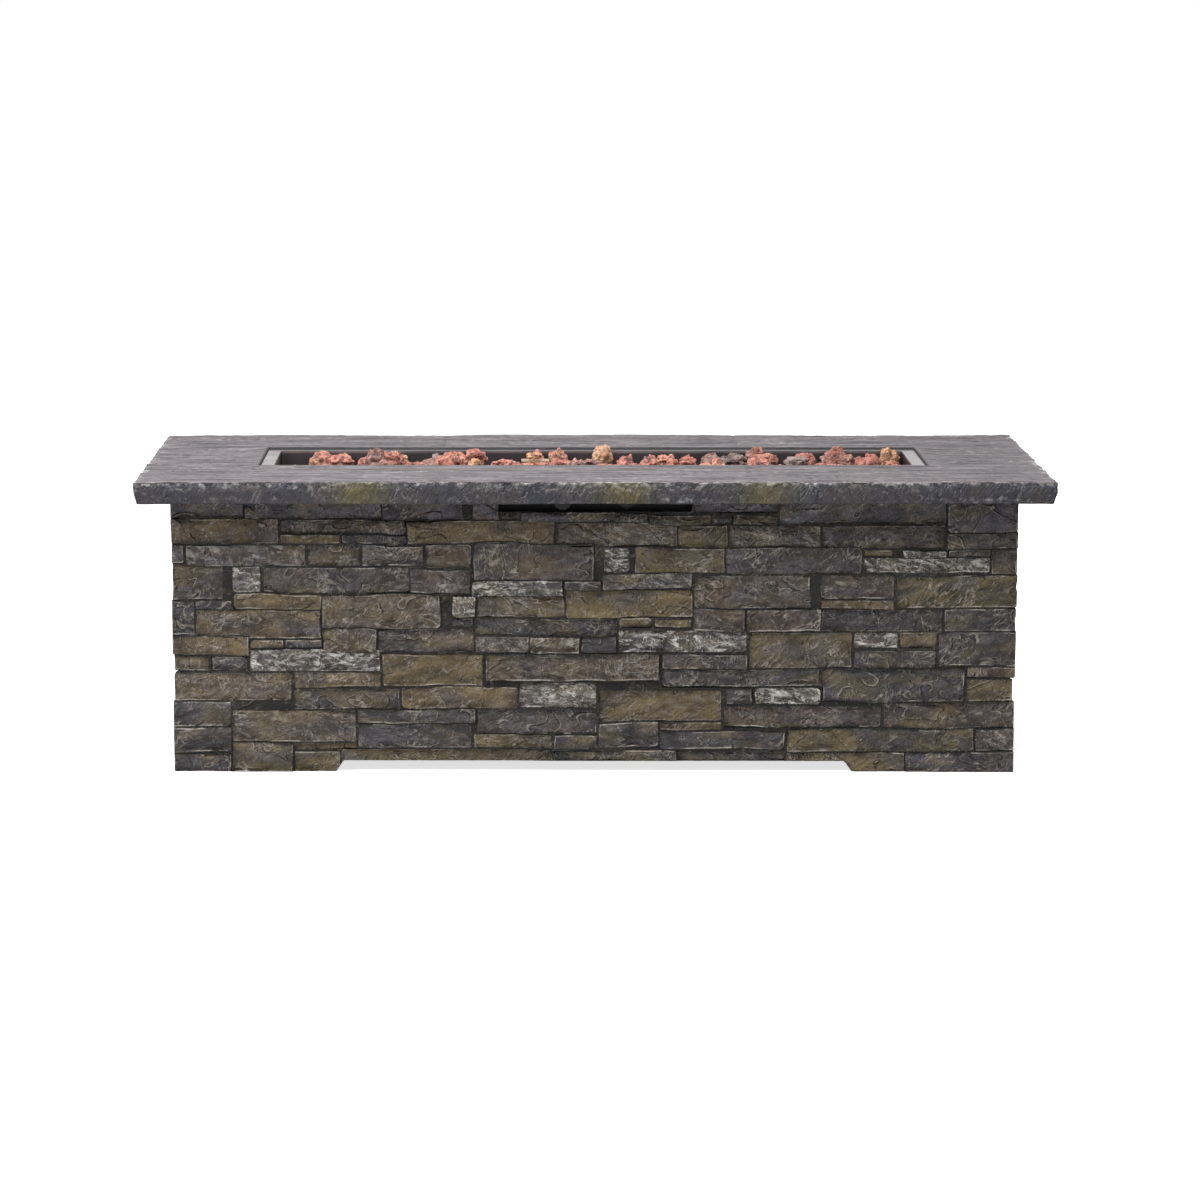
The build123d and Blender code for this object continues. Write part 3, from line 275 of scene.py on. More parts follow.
# Stains: each has its colour, how much pale paint is dragged over it, and how rough its stones are.
# The front's stained stones are listed by the middle of each as the photograph shows it, in pixels.
photo_left, photo_floor = 169, 772
photo_across, photo_up = 1.558 * MM, 1.590 * MM
stone_shape = (1, 0.35)
stains = {
    "quartz": ("#4f4a46", 0.9, 1.2),
    "veined": ("#4b4440", 0.3, 1.3),
    "ochre": ("#5f523c", 0.1, 1.0),
    "olive": ("#5a5039", 0.08, 1.0),
    "tan": ("#50463a", 0.16, 1.1),
    "mauve": ("#433b39", 0.12, 0.9),
    "slate": ("#3e3a3c", 0.1, 0.9),
    "charcoal": ("#3c3a3c", 0.06, 1.2),
    # The course just under the rim takes a blue grey stain lighter than its stone, painted light where the
    # rim's shadow falls.
    "bluestone_painted_light": ("#58565b", 0.06, 0.7),
}
stained_stones = {
    "quartz": [
        (244, 580), (615, 561), (516, 588), (925, 566), (312, 660), (681, 641), (875, 640), (556, 695),
        (788, 698), (463, 606), (922, 554),
    ],
    "veined": [(244, 556), (331, 556), (391, 556), (615, 535), (772, 537), (646, 581), (497, 645)],
    "ochre": [(256, 624), (275, 601), (430, 670), (480, 532), (519, 607), (334, 682), (456, 699), (659, 707)],
    "olive": [
        (627, 604), (678, 560), (953, 592), (880, 742), (799, 651), (510, 742), (442, 756), (634, 623),
        (671, 623), (259, 757),
    ],
    "tan": [(380, 611), (447, 556), (750, 592), (570, 670), (291, 726), (230, 687)],
    "mauve": [
        (341, 532), (196, 582), (334, 580), (438, 581), (533, 562), (347, 640), (421, 640), (718, 619),
        (780, 619), (856, 587), (890, 660), (201, 741), (535, 722), (946, 717), (802, 717),
    ],
    "slate": [
        (792, 561), (414, 718), (412, 737), (575, 741), (201, 715), (704, 662), (208, 664), (461, 623),
        (880, 620), (976, 620), (627, 736),
    ],
    "charcoal": [(978, 541), (893, 686), (958, 763), (680, 520), (722, 520), (755, 521)],
    # The course just under the rim, in the lighter stain that is painted light.
    "bluestone_painted_light": [(206, 514), (312, 514), (420, 514), (485, 512), (733, 508), (860, 515), (984, 515)],
}
other_stains = ("olive", "mauve", "slate", "slate", "charcoal", "tan", "ochre", "veined")
other_quartz = 0.08
mortar_stains, mortar_joint = ("#3f3a36", "#4a443f"), 0.95


def wall_stones(node, outward):
    """Corners, as (along, up, out), of each stone's flat face on a CAD wall, and what else the wall has.

    A stone's face is an island of triangles that face outwards in front of the slab. Its four corners are the
    points furthest along the diagonals. The rest is the slab: triangles no further out than its front.
    """
    points, triangles = node_arrays(node)
    side = np.cross((0, 0, 1), outward)
    flat = np.stack([points @ side, points[:, 2], points @ outward], axis=1)
    front = flat[:, 2].min() + slab_thickness
    flat[:, 2] -= front
    normal = np.cross(*(flat[triangles[:, i]] - flat[triangles[:, 0]] for i in (1, 2)))
    outwards = normal[:, 2] > 0.9 * np.linalg.norm(normal, axis=1)
    faces = triangles[outwards & (flat[triangles, 2].min(axis=1) > 3 * MM)]
    labels = islands(len(flat), faces)
    stones = []
    for label in np.unique(labels[faces]):
        own = flat[labels == label]
        low, high = own[:, :2].min(axis=0), own[:, :2].max(axis=0)
        u, v = ((own[:, :2] - low) / (high - low)).T
        picks = [[(u + v).argmin(), (u - v).argmax()], [(u - v).argmin(), (u + v).argmax()]]
        stone = own[np.array(picks)]
        if low[1] < arch_height:
            stone[0, :, :2] = [low, (high[0], low[1])]
        stones.append(stone)
    slab = triangles[flat[triangles, 2].max(axis=1) < hair]
    flat[np.abs(flat[:, 2]) < hair, 2] = mortar_depth
    return stones, flat, slab, front, side


def make_wall(node, outward, seed, material):
    """One wall as a piece: a patch for each stone, in its stain, over the slab of the CAD casting."""
    outward = np.array(outward, float)
    stones, flat, slab, front, side = wall_stones(node, outward)
    chance = np.random.default_rng(seed)
    names = [other_stains[i] for i in chance.integers(len(other_stains), size=len(stones))]
    quartz_share = 0 if node == "front_wall" else other_quartz
    names = ["quartz" if chance.random() < quartz_share else name for name in names]
    if node == "front_wall":
        middles = np.array([stone[..., :2].mean(axis=(0, 1)) for stone in stones])
        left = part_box("front_wall")[0][0]
        for stain, places in stained_stones.items():
            for x, y in places:
                spot = (left + (x - photo_left) * photo_across, (photo_floor - y) * photo_up)
                names[np.abs((middles - spot) / stone_shape).sum(axis=1).argmin()] = stain
    used = np.unique(slab)
    faces = np.searchsorted(used, slab).tolist()
    flat_count, count = len(faces), len(used)
    mortar = flat[used]
    mortar_colours = [np.tile(linear(code), (count, 1)) for code in mortar_stains]
    gathered = [(mortar, (mortar[:, 2] > -1 * MM) * mortar_joint, np.zeros(count), mortar, *mortar_colours)]
    for number, (stone, name) in enumerate(zip(stones, names)):
        code, pale, rough = stains[name]
        patch, joint, bed = stone_patch(stone, rough * chance.uniform(0.6, 1.3), seed * 1000 + number)
        faces += grid_faces(count + np.arange(joint.size).reshape(joint.shape)).tolist()
        count += joint.size
        other = stains[other_stains[chance.integers(len(other_stains))]][0]
        shade = np.array([*[chance.uniform(0.92, 1.08)] * 3, 1.0])
        colours = [np.tile(linear(stain) * shade, (joint.size, 1)) for stain in (code, other)]
        pales = np.full(joint.size, pale)
        gathered.append((patch.reshape(-1, 3), joint.ravel(), pales, bed.reshape(-1, 3), *colours))
    places, *looks = (np.concatenate(parts) for parts in zip(*gathered))
    along, up, out = places.T
    along = np.clip(along, flat[:, 0].min(), flat[:, 0].max())
    up = np.clip(up, 0, wall_height)
    if outward[1]:
        up = np.maximum(up, np.clip((arch_half - np.abs(along)) / arch_slant, 0, 1) * arch_height)
    out = np.minimum(out, flat[:, 2].max())
    points = np.outer(along, side) + np.outer(up, (0, 0, 1)) + np.outer(out + front, outward)
    attributes = dict(zip(("joint", "pale", "bed", "stain_one", "stain_two"), looks))
    piece = add_piece(node + "_stones", points, faces, material, attributes, range(flat_count))
    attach(piece, "base")
    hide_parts(node)


def patches(tree, place, size_mm, detail, low, high, least=0.0, most=1.0, **more):
    """Cloudy patches of about a size: a noise between two of its values, stretched from a least to a most."""
    cloud = add(tree, "TexNoise", inputs={
        "Vector": place, "Scale": per_mm(size_mm), "Detail": detail, **more})
    return add(tree, "MapRange", inputs={
        "Value": cloud, "From Min": low, "From Max": high, "To Min": least, "To Max": most})


def dry_brush(tree, place, lean, line_mm, patch_mm):
    """Pale paint dragged over a rough face: thin broken lines in patches.

    The lines lie where a noise, drawn out along the lean, passes its middle value. Gives the cover, and a
    ridge under each line for the bump.
    """
    leaning = add(tree, "Mapping", vector_type="TEXTURE", inputs={
        "Vector": place, "Rotation": (0.0, 0.0, lean), "Scale": (1.0, 3.6, 1.0)})
    strokes = add(tree, "TexNoise", inputs={
        "Vector": leaning, "Scale": per_mm(line_mm), "Detail": 2.0, "Roughness": 0.55})
    off = add(tree, "Math", operation="SUBTRACT", inputs={"Value": strokes, "Value_001": 0.5})
    off = add(tree, "Math", operation="ABSOLUTE", inputs={"Value": off})
    lines = add(tree, "MapRange", inputs={"Value": off, "From Min": 0.04, "From Max": 0.01})
    patch = patches(tree, place, patch_mm, 5.0, 0.52, 0.62, Roughness=0.7)
    cover = add(tree, "Math", operation="MULTIPLY", inputs={"Value": lines, "Value_001": patch})
    ridge = add(tree, "MapRange", inputs={"Value": off, "From Min": 0.12, "From Max": 0.0})
    return cover, ridge


def cleft_steps(tree, place, draw, layer_mm, layers):
    """Edges of split layers: noise drawn out along the bed and cut into steps.

    Gives the steps, and how far each place lies along its step.
    """
    bedded = add(tree, "Mapping", inputs={"Vector": place, "Scale": (draw, 1.0, 1.0)})
    cleft = add(tree, "TexNoise", inputs={
        "Vector": bedded, "Scale": per_mm(layer_mm), "Detail": 2.5, "Roughness": 0.5, "Distortion": 0.7})
    rise = add(tree, "Math", operation="MULTIPLY", inputs={"Value": cleft, "Value_001": layers})
    share = add(tree, "Math", operation="FRACT", inputs={"Value": rise})
    whole = add(tree, "Math", operation="FLOOR", inputs={"Value": rise})
    riser = add(tree, "MapRange", interpolation_type="SMOOTHSTEP", inputs={
        "Value": share, "From Min": 0.86, "From Max": 1.0})
    steps = add(tree, "Math", operation="ADD", inputs={"Value": whole, "Value_001": riser})
    return steps, share


def painted(tree, colour, *coats):
    """A colour with coats of paint over it, each as far as its cover times its amount."""
    for cover, amount, paint in coats:
        cover = add(tree, "Math", operation="MULTIPLY", use_clamp=True, inputs={
            "Value": cover, "Value_001": amount})
        colour = add(tree, "Mix", "Result_Color", data_type="RGBA", inputs={
            "Factor_Float": cover, "A_Color": colour, "B_Color": linear(paint)})
    return colour


def stained_concrete():
    """Cast concrete with a slate face, stained by hand, and matt.

    Two stains cloud over each stone, with washes of ochre and mauve that drift along its bed. Painted shade
    darkens it towards the joints and where its face turns down. Pale paint is dragged over the rough parts
    and along the stone's edges, most where an edge faces up, which is a painted highlight. Each split layer
    has a painted highlight along its edge and a painted shadow under it.
    """
    material, tree, surface = new_material("hand_stained_cast_stone")
    bed = add(tree, "Attribute", "Vector", attribute_name="bed")
    one, two = (add(tree, "Attribute", "Color", attribute_name=name) for name in ("stain_one", "stain_two"))
    joint, pale = (add(tree, "Attribute", "Fac", attribute_name=name) for name in ("joint", "pale"))
    tilt = add(tree, "TexCoord", "Normal")
    tilt = add(tree, "SeparateXYZ", "Z", inputs={"Vector": tilt})

    cloud = patches(tree, bed, 60, 4.0, 0.42, 0.64, most=0.75, Roughness=0.6)
    colour = add(tree, "Mix", "Result_Color", data_type="RGBA", inputs={
        "Factor_Float": cloud, "A_Color": one, "B_Color": two})
    for shift, stain in ((0.0, "#5f543d"), (3.0, "#423d44")):
        drift = add(tree, "Mapping", inputs={
            "Vector": bed, "Location": (shift, shift, 0.0), "Scale": (0.55, 1.0, 1.0)})
        drift = add(tree, "TexNoise", inputs={"Vector": drift, "Scale": per_mm(38), "Detail": 3.0})
        drift = add(tree, "MapRange", interpolation_type="SMOOTHSTEP", inputs={
            "Value": drift, "From Min": 0.5, "From Max": 0.68})
        colour = painted(tree, colour, (drift, 0.6, stain))

    streaked = add(tree, "Mapping", inputs={"Vector": bed, "Scale": (0.4, 1.0, 1.0)})
    mottle = add(tree, "TexNoise", inputs={
        "Vector": streaked, "Scale": per_mm(14), "Detail": 7.0, "Roughness": 0.58})
    mottled = add(tree, "MapRange", inputs={
        "Value": mottle, "From Min": 0.34, "From Max": 0.66, "To Min": 0.72, "To Max": 1.26})
    grain = patches(tree, bed, 2.6, 2.0, 0.3, 0.7, 0.82, 1.16)
    broad = patches(tree, bed, 44, 2.0, 0.36, 0.64, 0.68, 1.2)
    # Ramps on the joint and on how far the face turns down: painted shade, darker towards the joints and on
    # faces that turn down. The last ramp favours edges that face up, a painted highlight.
    joint_shade, underside_shade, rising, falling, upward_highlight = (
        add(tree, "MapRange", interpolation_type="SMOOTHSTEP", inputs={
            "Value": value, "From Min": low, "From Max": high, "To Min": least, "To Max": most})
        for value, low, high, least, most in (
            (joint, 0.6, 0.97, 1.0, 0.5), (tilt, -0.6, -0.08, 0.55, 1.0), (joint, 0.66, 0.76, 0.0, 1.0),
            (joint, 0.88, 0.82, 0.0, 1.0), (tilt, -0.25, 0.3, 0.1, 1.15)))
    # Multiplied in: random tone and grain, then painted shade at the joints and on faces that turn down.
    for multiplier in (mottled, grain, broad, joint_shade, underside_shade):
        colour = add(tree, "Mix", "Result_Color", data_type="RGBA", blend_type="MULTIPLY", inputs={
            "Factor_Float": 1.0, "A_Color": colour, "B_Color": multiplier})

    layers, share = cleft_steps(tree, bed, 0.55, 46, 5.0)
    # At each split layer's step: a painted shadow beneath it, and a painted highlight along its top edge in
    # patches.
    under = add(tree, "MapRange", inputs={"Value": share, "From Min": 0.9, "From Max": 1.0})
    wear_and_highlight_patches = patches(tree, bed, 28, 2.0, 0.42, 0.58)
    step_highlight = add(tree, "MapRange", inputs={"Value": share, "From Min": 0.09, "From Max": 0.02})
    step_highlight = add(tree, "Math", operation="MULTIPLY", inputs={"Value": step_highlight, "Value_001": wear_and_highlight_patches})
    # Pale paint along each stone's border in patches, dry brush, made strongest where the edge faces up, a
    # painted highlight.
    edge = rising
    for part in (falling, wear_and_highlight_patches, upward_highlight):
        edge = add(tree, "Math", operation="MULTIPLY", inputs={"Value": edge, "Value_001": part})
    brushed, strokes = dry_brush(tree, bed, -0.95, 9.0, 55)
    upright, combs = dry_brush(tree, bed, 0.15, 7.0, 45)
    fleck, _ = dry_brush(tree, bed, 0.7, 5.0, 14)
    chalk = patches(tree, streaked, 8, 8.0, 0.5, 0.6, Roughness=0.75, Distortion=0.5)
    drag = patches(tree, bed, 30, 2.0, 0.36, 0.6, 0.25)
    chalk = add(tree, "Math", operation="MULTIPLY", inputs={"Value": chalk, "Value_001": drag})
    white = add(tree, "Math", operation="MAXIMUM", inputs={"Value": fleck, "Value_001": chalk})
    crack = add(tree, "MapRange", inputs={"Value": joint, "From Min": 0.88, "From Max": 0.98})
    # Coats: painted shadow under each step, dry-brushed pale strokes, painted highlight along each step, pale
    # edge paint that is a painted highlight where edges face up, pale flecks, and dark cracks in the joints.
    colour = painted(
        tree, colour, (under, 0.7, "#1a1817"), (brushed, 0.5, "#a8a097"), (upright, 0.4, "#a29a91"),
        (step_highlight, 0.45, "#a89e92"), (edge, 0.68, "#a8a097"), (white, pale, "#cdc9c4"), (crack, 0.94, "#151312"))

    bump = {}
    for height, depth, strength in (
        (layers, 2.6, 1.0), (mottle, 3.5, 0.9), (strokes, 1.3, 0.8), (combs, 1.0, 0.8),
    ):
        bump["Normal"] = add(tree, "Bump", inputs={
            "Height": height, "Distance": depth * MM, "Strength": strength, **bump})
    dull = add(tree, "MapRange", inputs={"Value": mottle, "To Min": 0.85, "To Max": 0.5})
    shader = add(tree, "BsdfPrincipled", inputs={
        "Base Color": colour, "Roughness": dull, "Specular IOR Level": 0.2, **bump})
    tree.links.new(shader, surface)
    return material


stone_finish = stained_concrete()
for seed, (node, outward) in enumerate({
    "front_wall": (0, -1, 0), "back_wall": (0, 1, 0),
    "left_end_wall": (-1, 0, 0), "right_end_wall": (1, 0, 0),
}.items(), 1):
    make_wall(node, outward, seed, stone_finish)

# Table top: one concrete casting from a mould of riven slate, with long cleft layers along its length.
# Its rim drops below the field, with chipped edges, and the opening has a rebate that takes the pan's flange.
top_high, pan_high = np.array(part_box("table_top")[1]), np.array(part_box("fire_pan")[1])
rim_foot, rim_wall, foot_inset, foot_rise = 38 * MM, 30 * MM, 5 * MM, 20 * MM
field_thickness, pan_sheet, flange_gap = 20 * MM, 2 * MM, 2 * MM
rebate_depth = top_high[2] - pan_high[2] + pan_sheet
flange_reach = 15 * MM
top_pitch = 3.6 * MM
edge_round, relief_fade = 4 * MM, 30 * MM
cleft_depth = 3.4
groove_place, groove_width, groove_mm = 242 * MM, 1.6 * MM, 1.8
chip_depth_mm = 9
olive_stains = [(-362, 42), (45, 40), (262, 40)]


def rectangle_path(half_x, half_y, long_steps, short_steps):
    """Points round rectangles of these half lengths and depths, as (x, y), from their front left corners."""
    share_long, share_short = (np.arange(steps) / steps for steps in (long_steps, short_steps))
    x = np.concatenate([2 * share_long - 1, np.ones(short_steps), 1 - 2 * share_long, -np.ones(short_steps)])
    y = np.concatenate([-np.ones(long_steps), 2 * share_short - 1, np.ones(long_steps), 1 - 2 * share_short])
    return half_x[:, None] * x, half_y[:, None] * y


def top_profile():
    """Rows of the top's section, from the rebate out over the field and the rim and back under to the rebate.

    Each row gives how far it lies from the opening towards the outer edge, its level, the direction of its
    outward face, and how much of the slate relief it takes.
    """
    depth = top_high[1] - (pan_high[1] + flange_gap)
    field = np.linspace(0, 1 - edge_round / depth, round(depth / top_pitch))
    turn = np.linspace(0, math.pi / 2, 5)[1:]
    rows = [(-flange_reach / depth, -rebate_depth, 0, 1, 0), (0, -rebate_depth, 0, 1, 0)]
    rows += [(reach, 0, 0, 1, 0.1 + 0.9 * min(1, reach * depth / relief_fade)) for reach in field]
    rows += [
        (1 - (1 - out) * edge_round / depth, (up - 1) * edge_round, out, up, 1)
        for out, up in zip(np.sin(turn), np.cos(turn))
    ]
    rows += [(1, -level * MM, 1, 0, 1) for level in (6.5, 9, 11.5, 14, 16.5, 19)]
    rows += [
        (1 - foot_inset * (level * MM - rim_foot + foot_rise) / foot_rise / depth, -level * MM, 1, 0, 1)
        for level in (21, 23.5, 26, 28.5, 31, 33.5, 36)
    ]
    rows += [
        (1 - (foot_inset + 1.5 * MM) / depth, -rim_foot, 0.6, -0.6, 0.6),
        (1 - rim_wall / depth, -rim_foot, 0, -1, 0),
        (1 - rim_wall / depth, -field_thickness, 0, -1, 0),
        (-flange_reach / depth, -field_thickness, 0, -1, 0),
    ]
    return np.array(rows)


def make_top(material):
    """The top: its profile carried round the rectangle, then pushed in along its faces by slate relief.

    The relief is noise stretched along the length and cut into steps, deeper where chips break the edge. It
    only ever sinks below the casting's outline. Two shallow grooves run across at the slab joints.
    """
    reach, level, face_out, face_up, share = top_profile().T
    inner = pan_high[:2] + flange_gap
    outer = top_high[:2]
    half = inner + (outer - inner) * reach[:, None]
    steps = [round(2 * size / top_pitch) for size in outer]
    x, y = rectangle_path(half[:, 0], half[:, 1], *steps)
    z = np.broadcast_to((top_high[2] + level)[:, None], x.shape)
    near_x, near_y = outer[0] - np.abs(x), outer[1] - np.abs(y)
    long_side = smooth_step(near_x - near_y, -2 * MM, 2 * MM)
    cleft = rough_noise(in_cells(x, 150, y, 13, z / (9 * MM)), 41, 4)
    layers = terraced(cleft * cleft_depth, 0.65)
    swell = noise(in_cells(x, 120, y, 60, z / (40 * MM)), 43)
    grit = rough_noise(in_cells(x, 12, y, 4, z / (4 * MM)), 47, 2)
    chips = np.maximum(0, rough_noise(in_cells(x, 34, y, 30, z / (11 * MM)), 53, 3) - 0.08)
    at_edge = np.exp(-((np.minimum(near_x, near_y) - 1 * MM) / (9 * MM)) ** 2)
    on_edge = at_edge * np.exp(-((level[:, None] + 2 * MM) / (8 * MM)) ** 2)
    chipped = chip_depth_mm * chips * on_edge * (0.25 + 0.75 * long_side * (y < 0))
    sunk = 0.55 * (layers + 3) + 0.5 * (swell + 1) + 0.35 * (grit + 1) + chipped
    groove = np.exp(-((np.abs(x) - groove_place) / groove_width) ** 2) * groove_mm
    push = (sunk + groove) * MM * share[:, None]
    push_side = push * face_out[:, None]
    out_x = np.sign(x) * (1 - long_side)
    out_y = np.sign(y) * long_side
    places = spread(x - out_x * push_side, y - out_y * push_side, z - push * face_up[:, None])
    faces = grid_faces(np.pad(np.arange(x.size).reshape(x.shape), (0, 1), "wrap")).tolist()
    ridge = np.clip(0.5 + 0.5 * cleft + 0.3 * grit + 0.45 * on_edge - 0.5 * groove, 0, 1) * share[:, None]
    rim = np.clip(face_out, 0, 1)[:, None] * np.ones_like(x)
    drop = -level[:, None] * rim
    bed = spread(x + out_x * drop, y + out_y * drop, np.array(0.0))
    olive = sum(np.exp(-((x - place * MM) / (half * MM)) ** 2) for place, half in olive_stains) * rim
    # The rebate's first rows are marked for near-black paint, a painted shadow in the gap round the pan's
    # flange.
    rebate = np.where(np.arange(len(level)) < 3, 1.0, 0.0)[:, None] * np.ones_like(x)
    attributes = {"ridge": ridge, "rim": rim, "olive": olive, "rebate": rebate, "bed": bed}
    piece = add_piece("table_top_slate", places.reshape(-1, 3), faces, material, attributes)
    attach(piece, "base")
    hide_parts("table_top")


def slate_concrete():
    """Cast concrete with a riven slate face: a mauve grey field with long streaks and thin cleft lines, each
    a painted highlight along a step with a painted shadow under it, and a rim stained dark blue grey with
    olive patches, its proud edges dry-brushed pale. The rebate is painted near black, a painted shadow. Matt,
    with a fine grit.
    """
    material, tree, surface = new_material("riven_slate_cast_stone")
    bed = add(tree, "Attribute", "Vector", attribute_name="bed")
    ridge, rim, olive, rebate = (
        add(tree, "Attribute", "Fac", attribute_name=name) for name in ("ridge", "rim", "olive", "rebate"))
    along = add(tree, "Mapping", inputs={"Vector": bed, "Scale": (0.09, 1.0, 1.0)})
    streak = add(tree, "TexNoise", inputs={
        "Vector": along, "Scale": per_mm(12), "Detail": 7.0, "Roughness": 0.65})
    streaks = add(tree, "MapRange", inputs={"Value": streak, "From Min": 0.37, "From Max": 0.63})
    field = painted(tree, linear("#393538"), (streaks, 1.0, "#736d70"))
    patch = patches(tree, bed, 70, 4.0, 0.42, 0.6)
    mottle = add(tree, "TexNoise", inputs={
        "Vector": bed, "Scale": per_mm(12), "Detail": 7.0, "Roughness": 0.65})
    blotch = add(tree, "Math", operation="MULTIPLY", inputs={"Value": mottle, "Value_001": olive})
    edge = painted(tree, linear("#35353d"), (patch, 1.0, "#423d3e"), (blotch, 1.36, "#605834"))
    multiplier = add(tree, "MapRange", inputs={
        "Value": mottle, "From Min": 0.3, "From Max": 0.7, "To Min": 0.7, "To Max": 1.25})
    colour = add(tree, "Mix", "Result_Color", data_type="RGBA", inputs={
        "Factor_Float": rim, "A_Color": field, "B_Color": edge})
    colour = add(tree, "Mix", "Result_Color", data_type="RGBA", blend_type="MULTIPLY", inputs={
        "Factor_Float": 1.0, "A_Color": colour, "B_Color": multiplier})

    layers, share = cleft_steps(tree, bed, 0.12, 26, 5.0)
    broken, torn = cleft_steps(tree, bed, 0.75, 24, 5.0)
    layers = add(tree, "Mix", inputs={"Factor_Float": rim, "A_Float": layers, "B_Float": broken})
    share = add(tree, "Mix", inputs={"Factor_Float": rim, "A_Float": share, "B_Float": torn})
    # At each split layer's step, a painted highlight along its top edge and a painted shadow beneath it.
    step_highlight = add(tree, "MapRange", inputs={"Value": share, "From Min": 0.1, "From Max": 0.0})
    under = add(tree, "MapRange", inputs={"Value": share, "From Min": 0.88, "From Max": 1.0})
    brushed, strokes = (
        add(tree, "Math", operation="MULTIPLY", inputs={"Value": part, "Value_001": rim})
        for part in dry_brush(tree, bed, -0.6, 8.0, 50))
    proud = add(tree, "MapRange", inputs={"Value": ridge, "From Min": 0.62, "From Max": 1.0, "To Max": 1.8})
    spots = add(tree, "MapRange", inputs={"Value": mottle, "From Min": 0.46, "From Max": 0.62})
    proud = add(tree, "Math", operation="MULTIPLY", inputs={"Value": proud, "Value_001": spots})
    # The rebate's rows are painted near black, a painted shadow in the gap round the pan's flange.
    colour = painted(
        tree, colour, (under, 0.6, "#262325"), (step_highlight, 0.35, "#9a9496"), (brushed, 0.3, "#a8a4a2"),
        (proud, 0.5, "#aca8a5"), (rebate, 0.9, "#151414"))

    grit = add(tree, "TexNoise", inputs={"Vector": bed, "Scale": per_mm(3), "Detail": 5.0, "Roughness": 0.7})
    bump = {}
    for height, depth, strength in (
        (layers, 1.6, 1.0), (streak, 2.5, 0.8), (strokes, 1.3, 0.8), (grit, 0.5, 0.6),
    ):
        bump["Normal"] = add(tree, "Bump", inputs={
            "Height": height, "Distance": depth * MM, "Strength": strength, **bump})
    dull = add(tree, "MapRange", inputs={"Value": mottle, "To Min": 0.88, "To Max": 0.6})
    shader = add(tree, "BsdfPrincipled", inputs={
        "Base Color": colour, "Roughness": dull, "Specular IOR Level": 0.3, **bump})
    tree.links.new(shader, surface)
    return material


make_top(slate_concrete())

# Sheet and bar metal: galvanised brackets, zinc-plated screws, the stainless pan, burner and hood, and
# turned brass gas fittings. Each is rolled, drawn or turned, which leaves fine lines that blur highlights.


def worked_metal(name, light, dark, roughness, grain_mm, cloud_mm, shade_level=None, dark_line=None):
    """Bare metal: its colour clouds between two tones, and fine grain lines vary the roughness and the bump.

    Below its shade level, where given, it is painted darker, a painted shade for the inside of the pan, and
    behind its dark line it is painted darker too.
    """
    material, tree, surface = new_material(name)
    place = add(tree, "TexCoord", "Object")
    cloud = patches(tree, place, cloud_mm, 5.0, 0.35, 0.65)
    colour = painted(tree, linear(dark), (cloud, 1.0, light))
    # Painted shade: darker below the shade level inside the pan, and darker behind the dark line.
    if shade_level is not None:
        pan_darkening = 0.0
        for axis, start, fade in (("Z", shade_level, -4 * MM), ("Y", dark_line, 2 * MM)):
            part = add(tree, "SeparateXYZ", axis, inputs={"Vector": place})
            part = add(tree, "MapRange", inputs={"Value": part, "From Min": start, "From Max": start + fade})
            pan_darkening = add(tree, "Math", operation="MAXIMUM", inputs={"Value": pan_darkening, "Value_001": part})
        colour = painted(tree, colour, (pan_darkening, 0.97, "#56575b"))
    lines = add(tree, "Mapping", inputs={"Vector": place, "Scale": (0.04, 1.0, 1.0)})
    grain = add(tree, "TexNoise", inputs={"Vector": lines, "Scale": per_mm(grain_mm), "Detail": 3.0})
    dull = add(tree, "MapRange", inputs={
        "Value": grain, "To Min": roughness - 0.1, "To Max": roughness + 0.15})
    bump = add(tree, "Bump", inputs={"Height": grain, "Distance": 0.05 * MM, "Strength": 0.4})
    shader = add(tree, "BsdfPrincipled", inputs={
        "Base Color": colour, "Metallic": 1.0, "Roughness": dull, "Normal": bump})
    tree.links.new(shader, surface)
    return material


def dress(material, *nodes):
    """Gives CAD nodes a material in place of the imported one."""
    for node in nodes:
        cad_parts[node].material_slots[0].material = material


dress(worked_metal("galvanised_sheet", "#b4b8bb", "#8f9497", 0.42, 0.8, 9),
      "corner_brackets", "top_clips", "heat_shield")
dress(worked_metal("zinc_plated_steel", "#bdbdba", "#9c9c98", 0.3, 0.4, 4),
      "corner_bracket_screws", "top_clip_screws", "heat_shield_screws", "burner_saddle_screws",
      "control_panel_screws", "pilot_hood_screws", "valve_nut", "knob_thrust_washer")
# The pan is painted darker below its flange, a painted shade for its inside, and over its back flange.
dress(worked_metal("satin_stainless_pan", "#a8a3a3", "#8d8888", 0.36, 0.6, 60,
                   shade_level=pan_high[2] - 1 * MM, dark_line=pan_high[1] - 20 * MM), "fire_pan")
dress(worked_metal("heat_tinted_stainless", "#8d8780", "#5f5751", 0.38, 0.6, 30),
      "burner_tube", "burner_saddles", "spark_electrode", "thermocouple_probe")
dress(worked_metal("straw_tinted_stainless", "#c2a98c", "#a98e72", 0.42, 0.6, 25), "pilot_hood")
dress(worked_metal("turned_brass", "#c8a05a", "#a9803c", 0.28, 0.4, 12),
      "burner_inlet_nut", "air_mixer", "orifice_elbow", "feed_tube_nuts", "valve_inlet_fitting", "valve_stem")
dress(worked_metal("die_cast_aluminium", "#b9bbbd", "#9fa1a3", 0.5, 1.2, 8), "gas_valve_body")
dress(worked_metal("drawn_aluminium_tube", "#c9cbcd", "#b3b5b7", 0.3, 0.5, 20), "gas_feed_tube")
dress(worked_metal("drawn_copper_tube", "#b87852", "#99603f", 0.3, 0.5, 20), "thermocouple_lead")

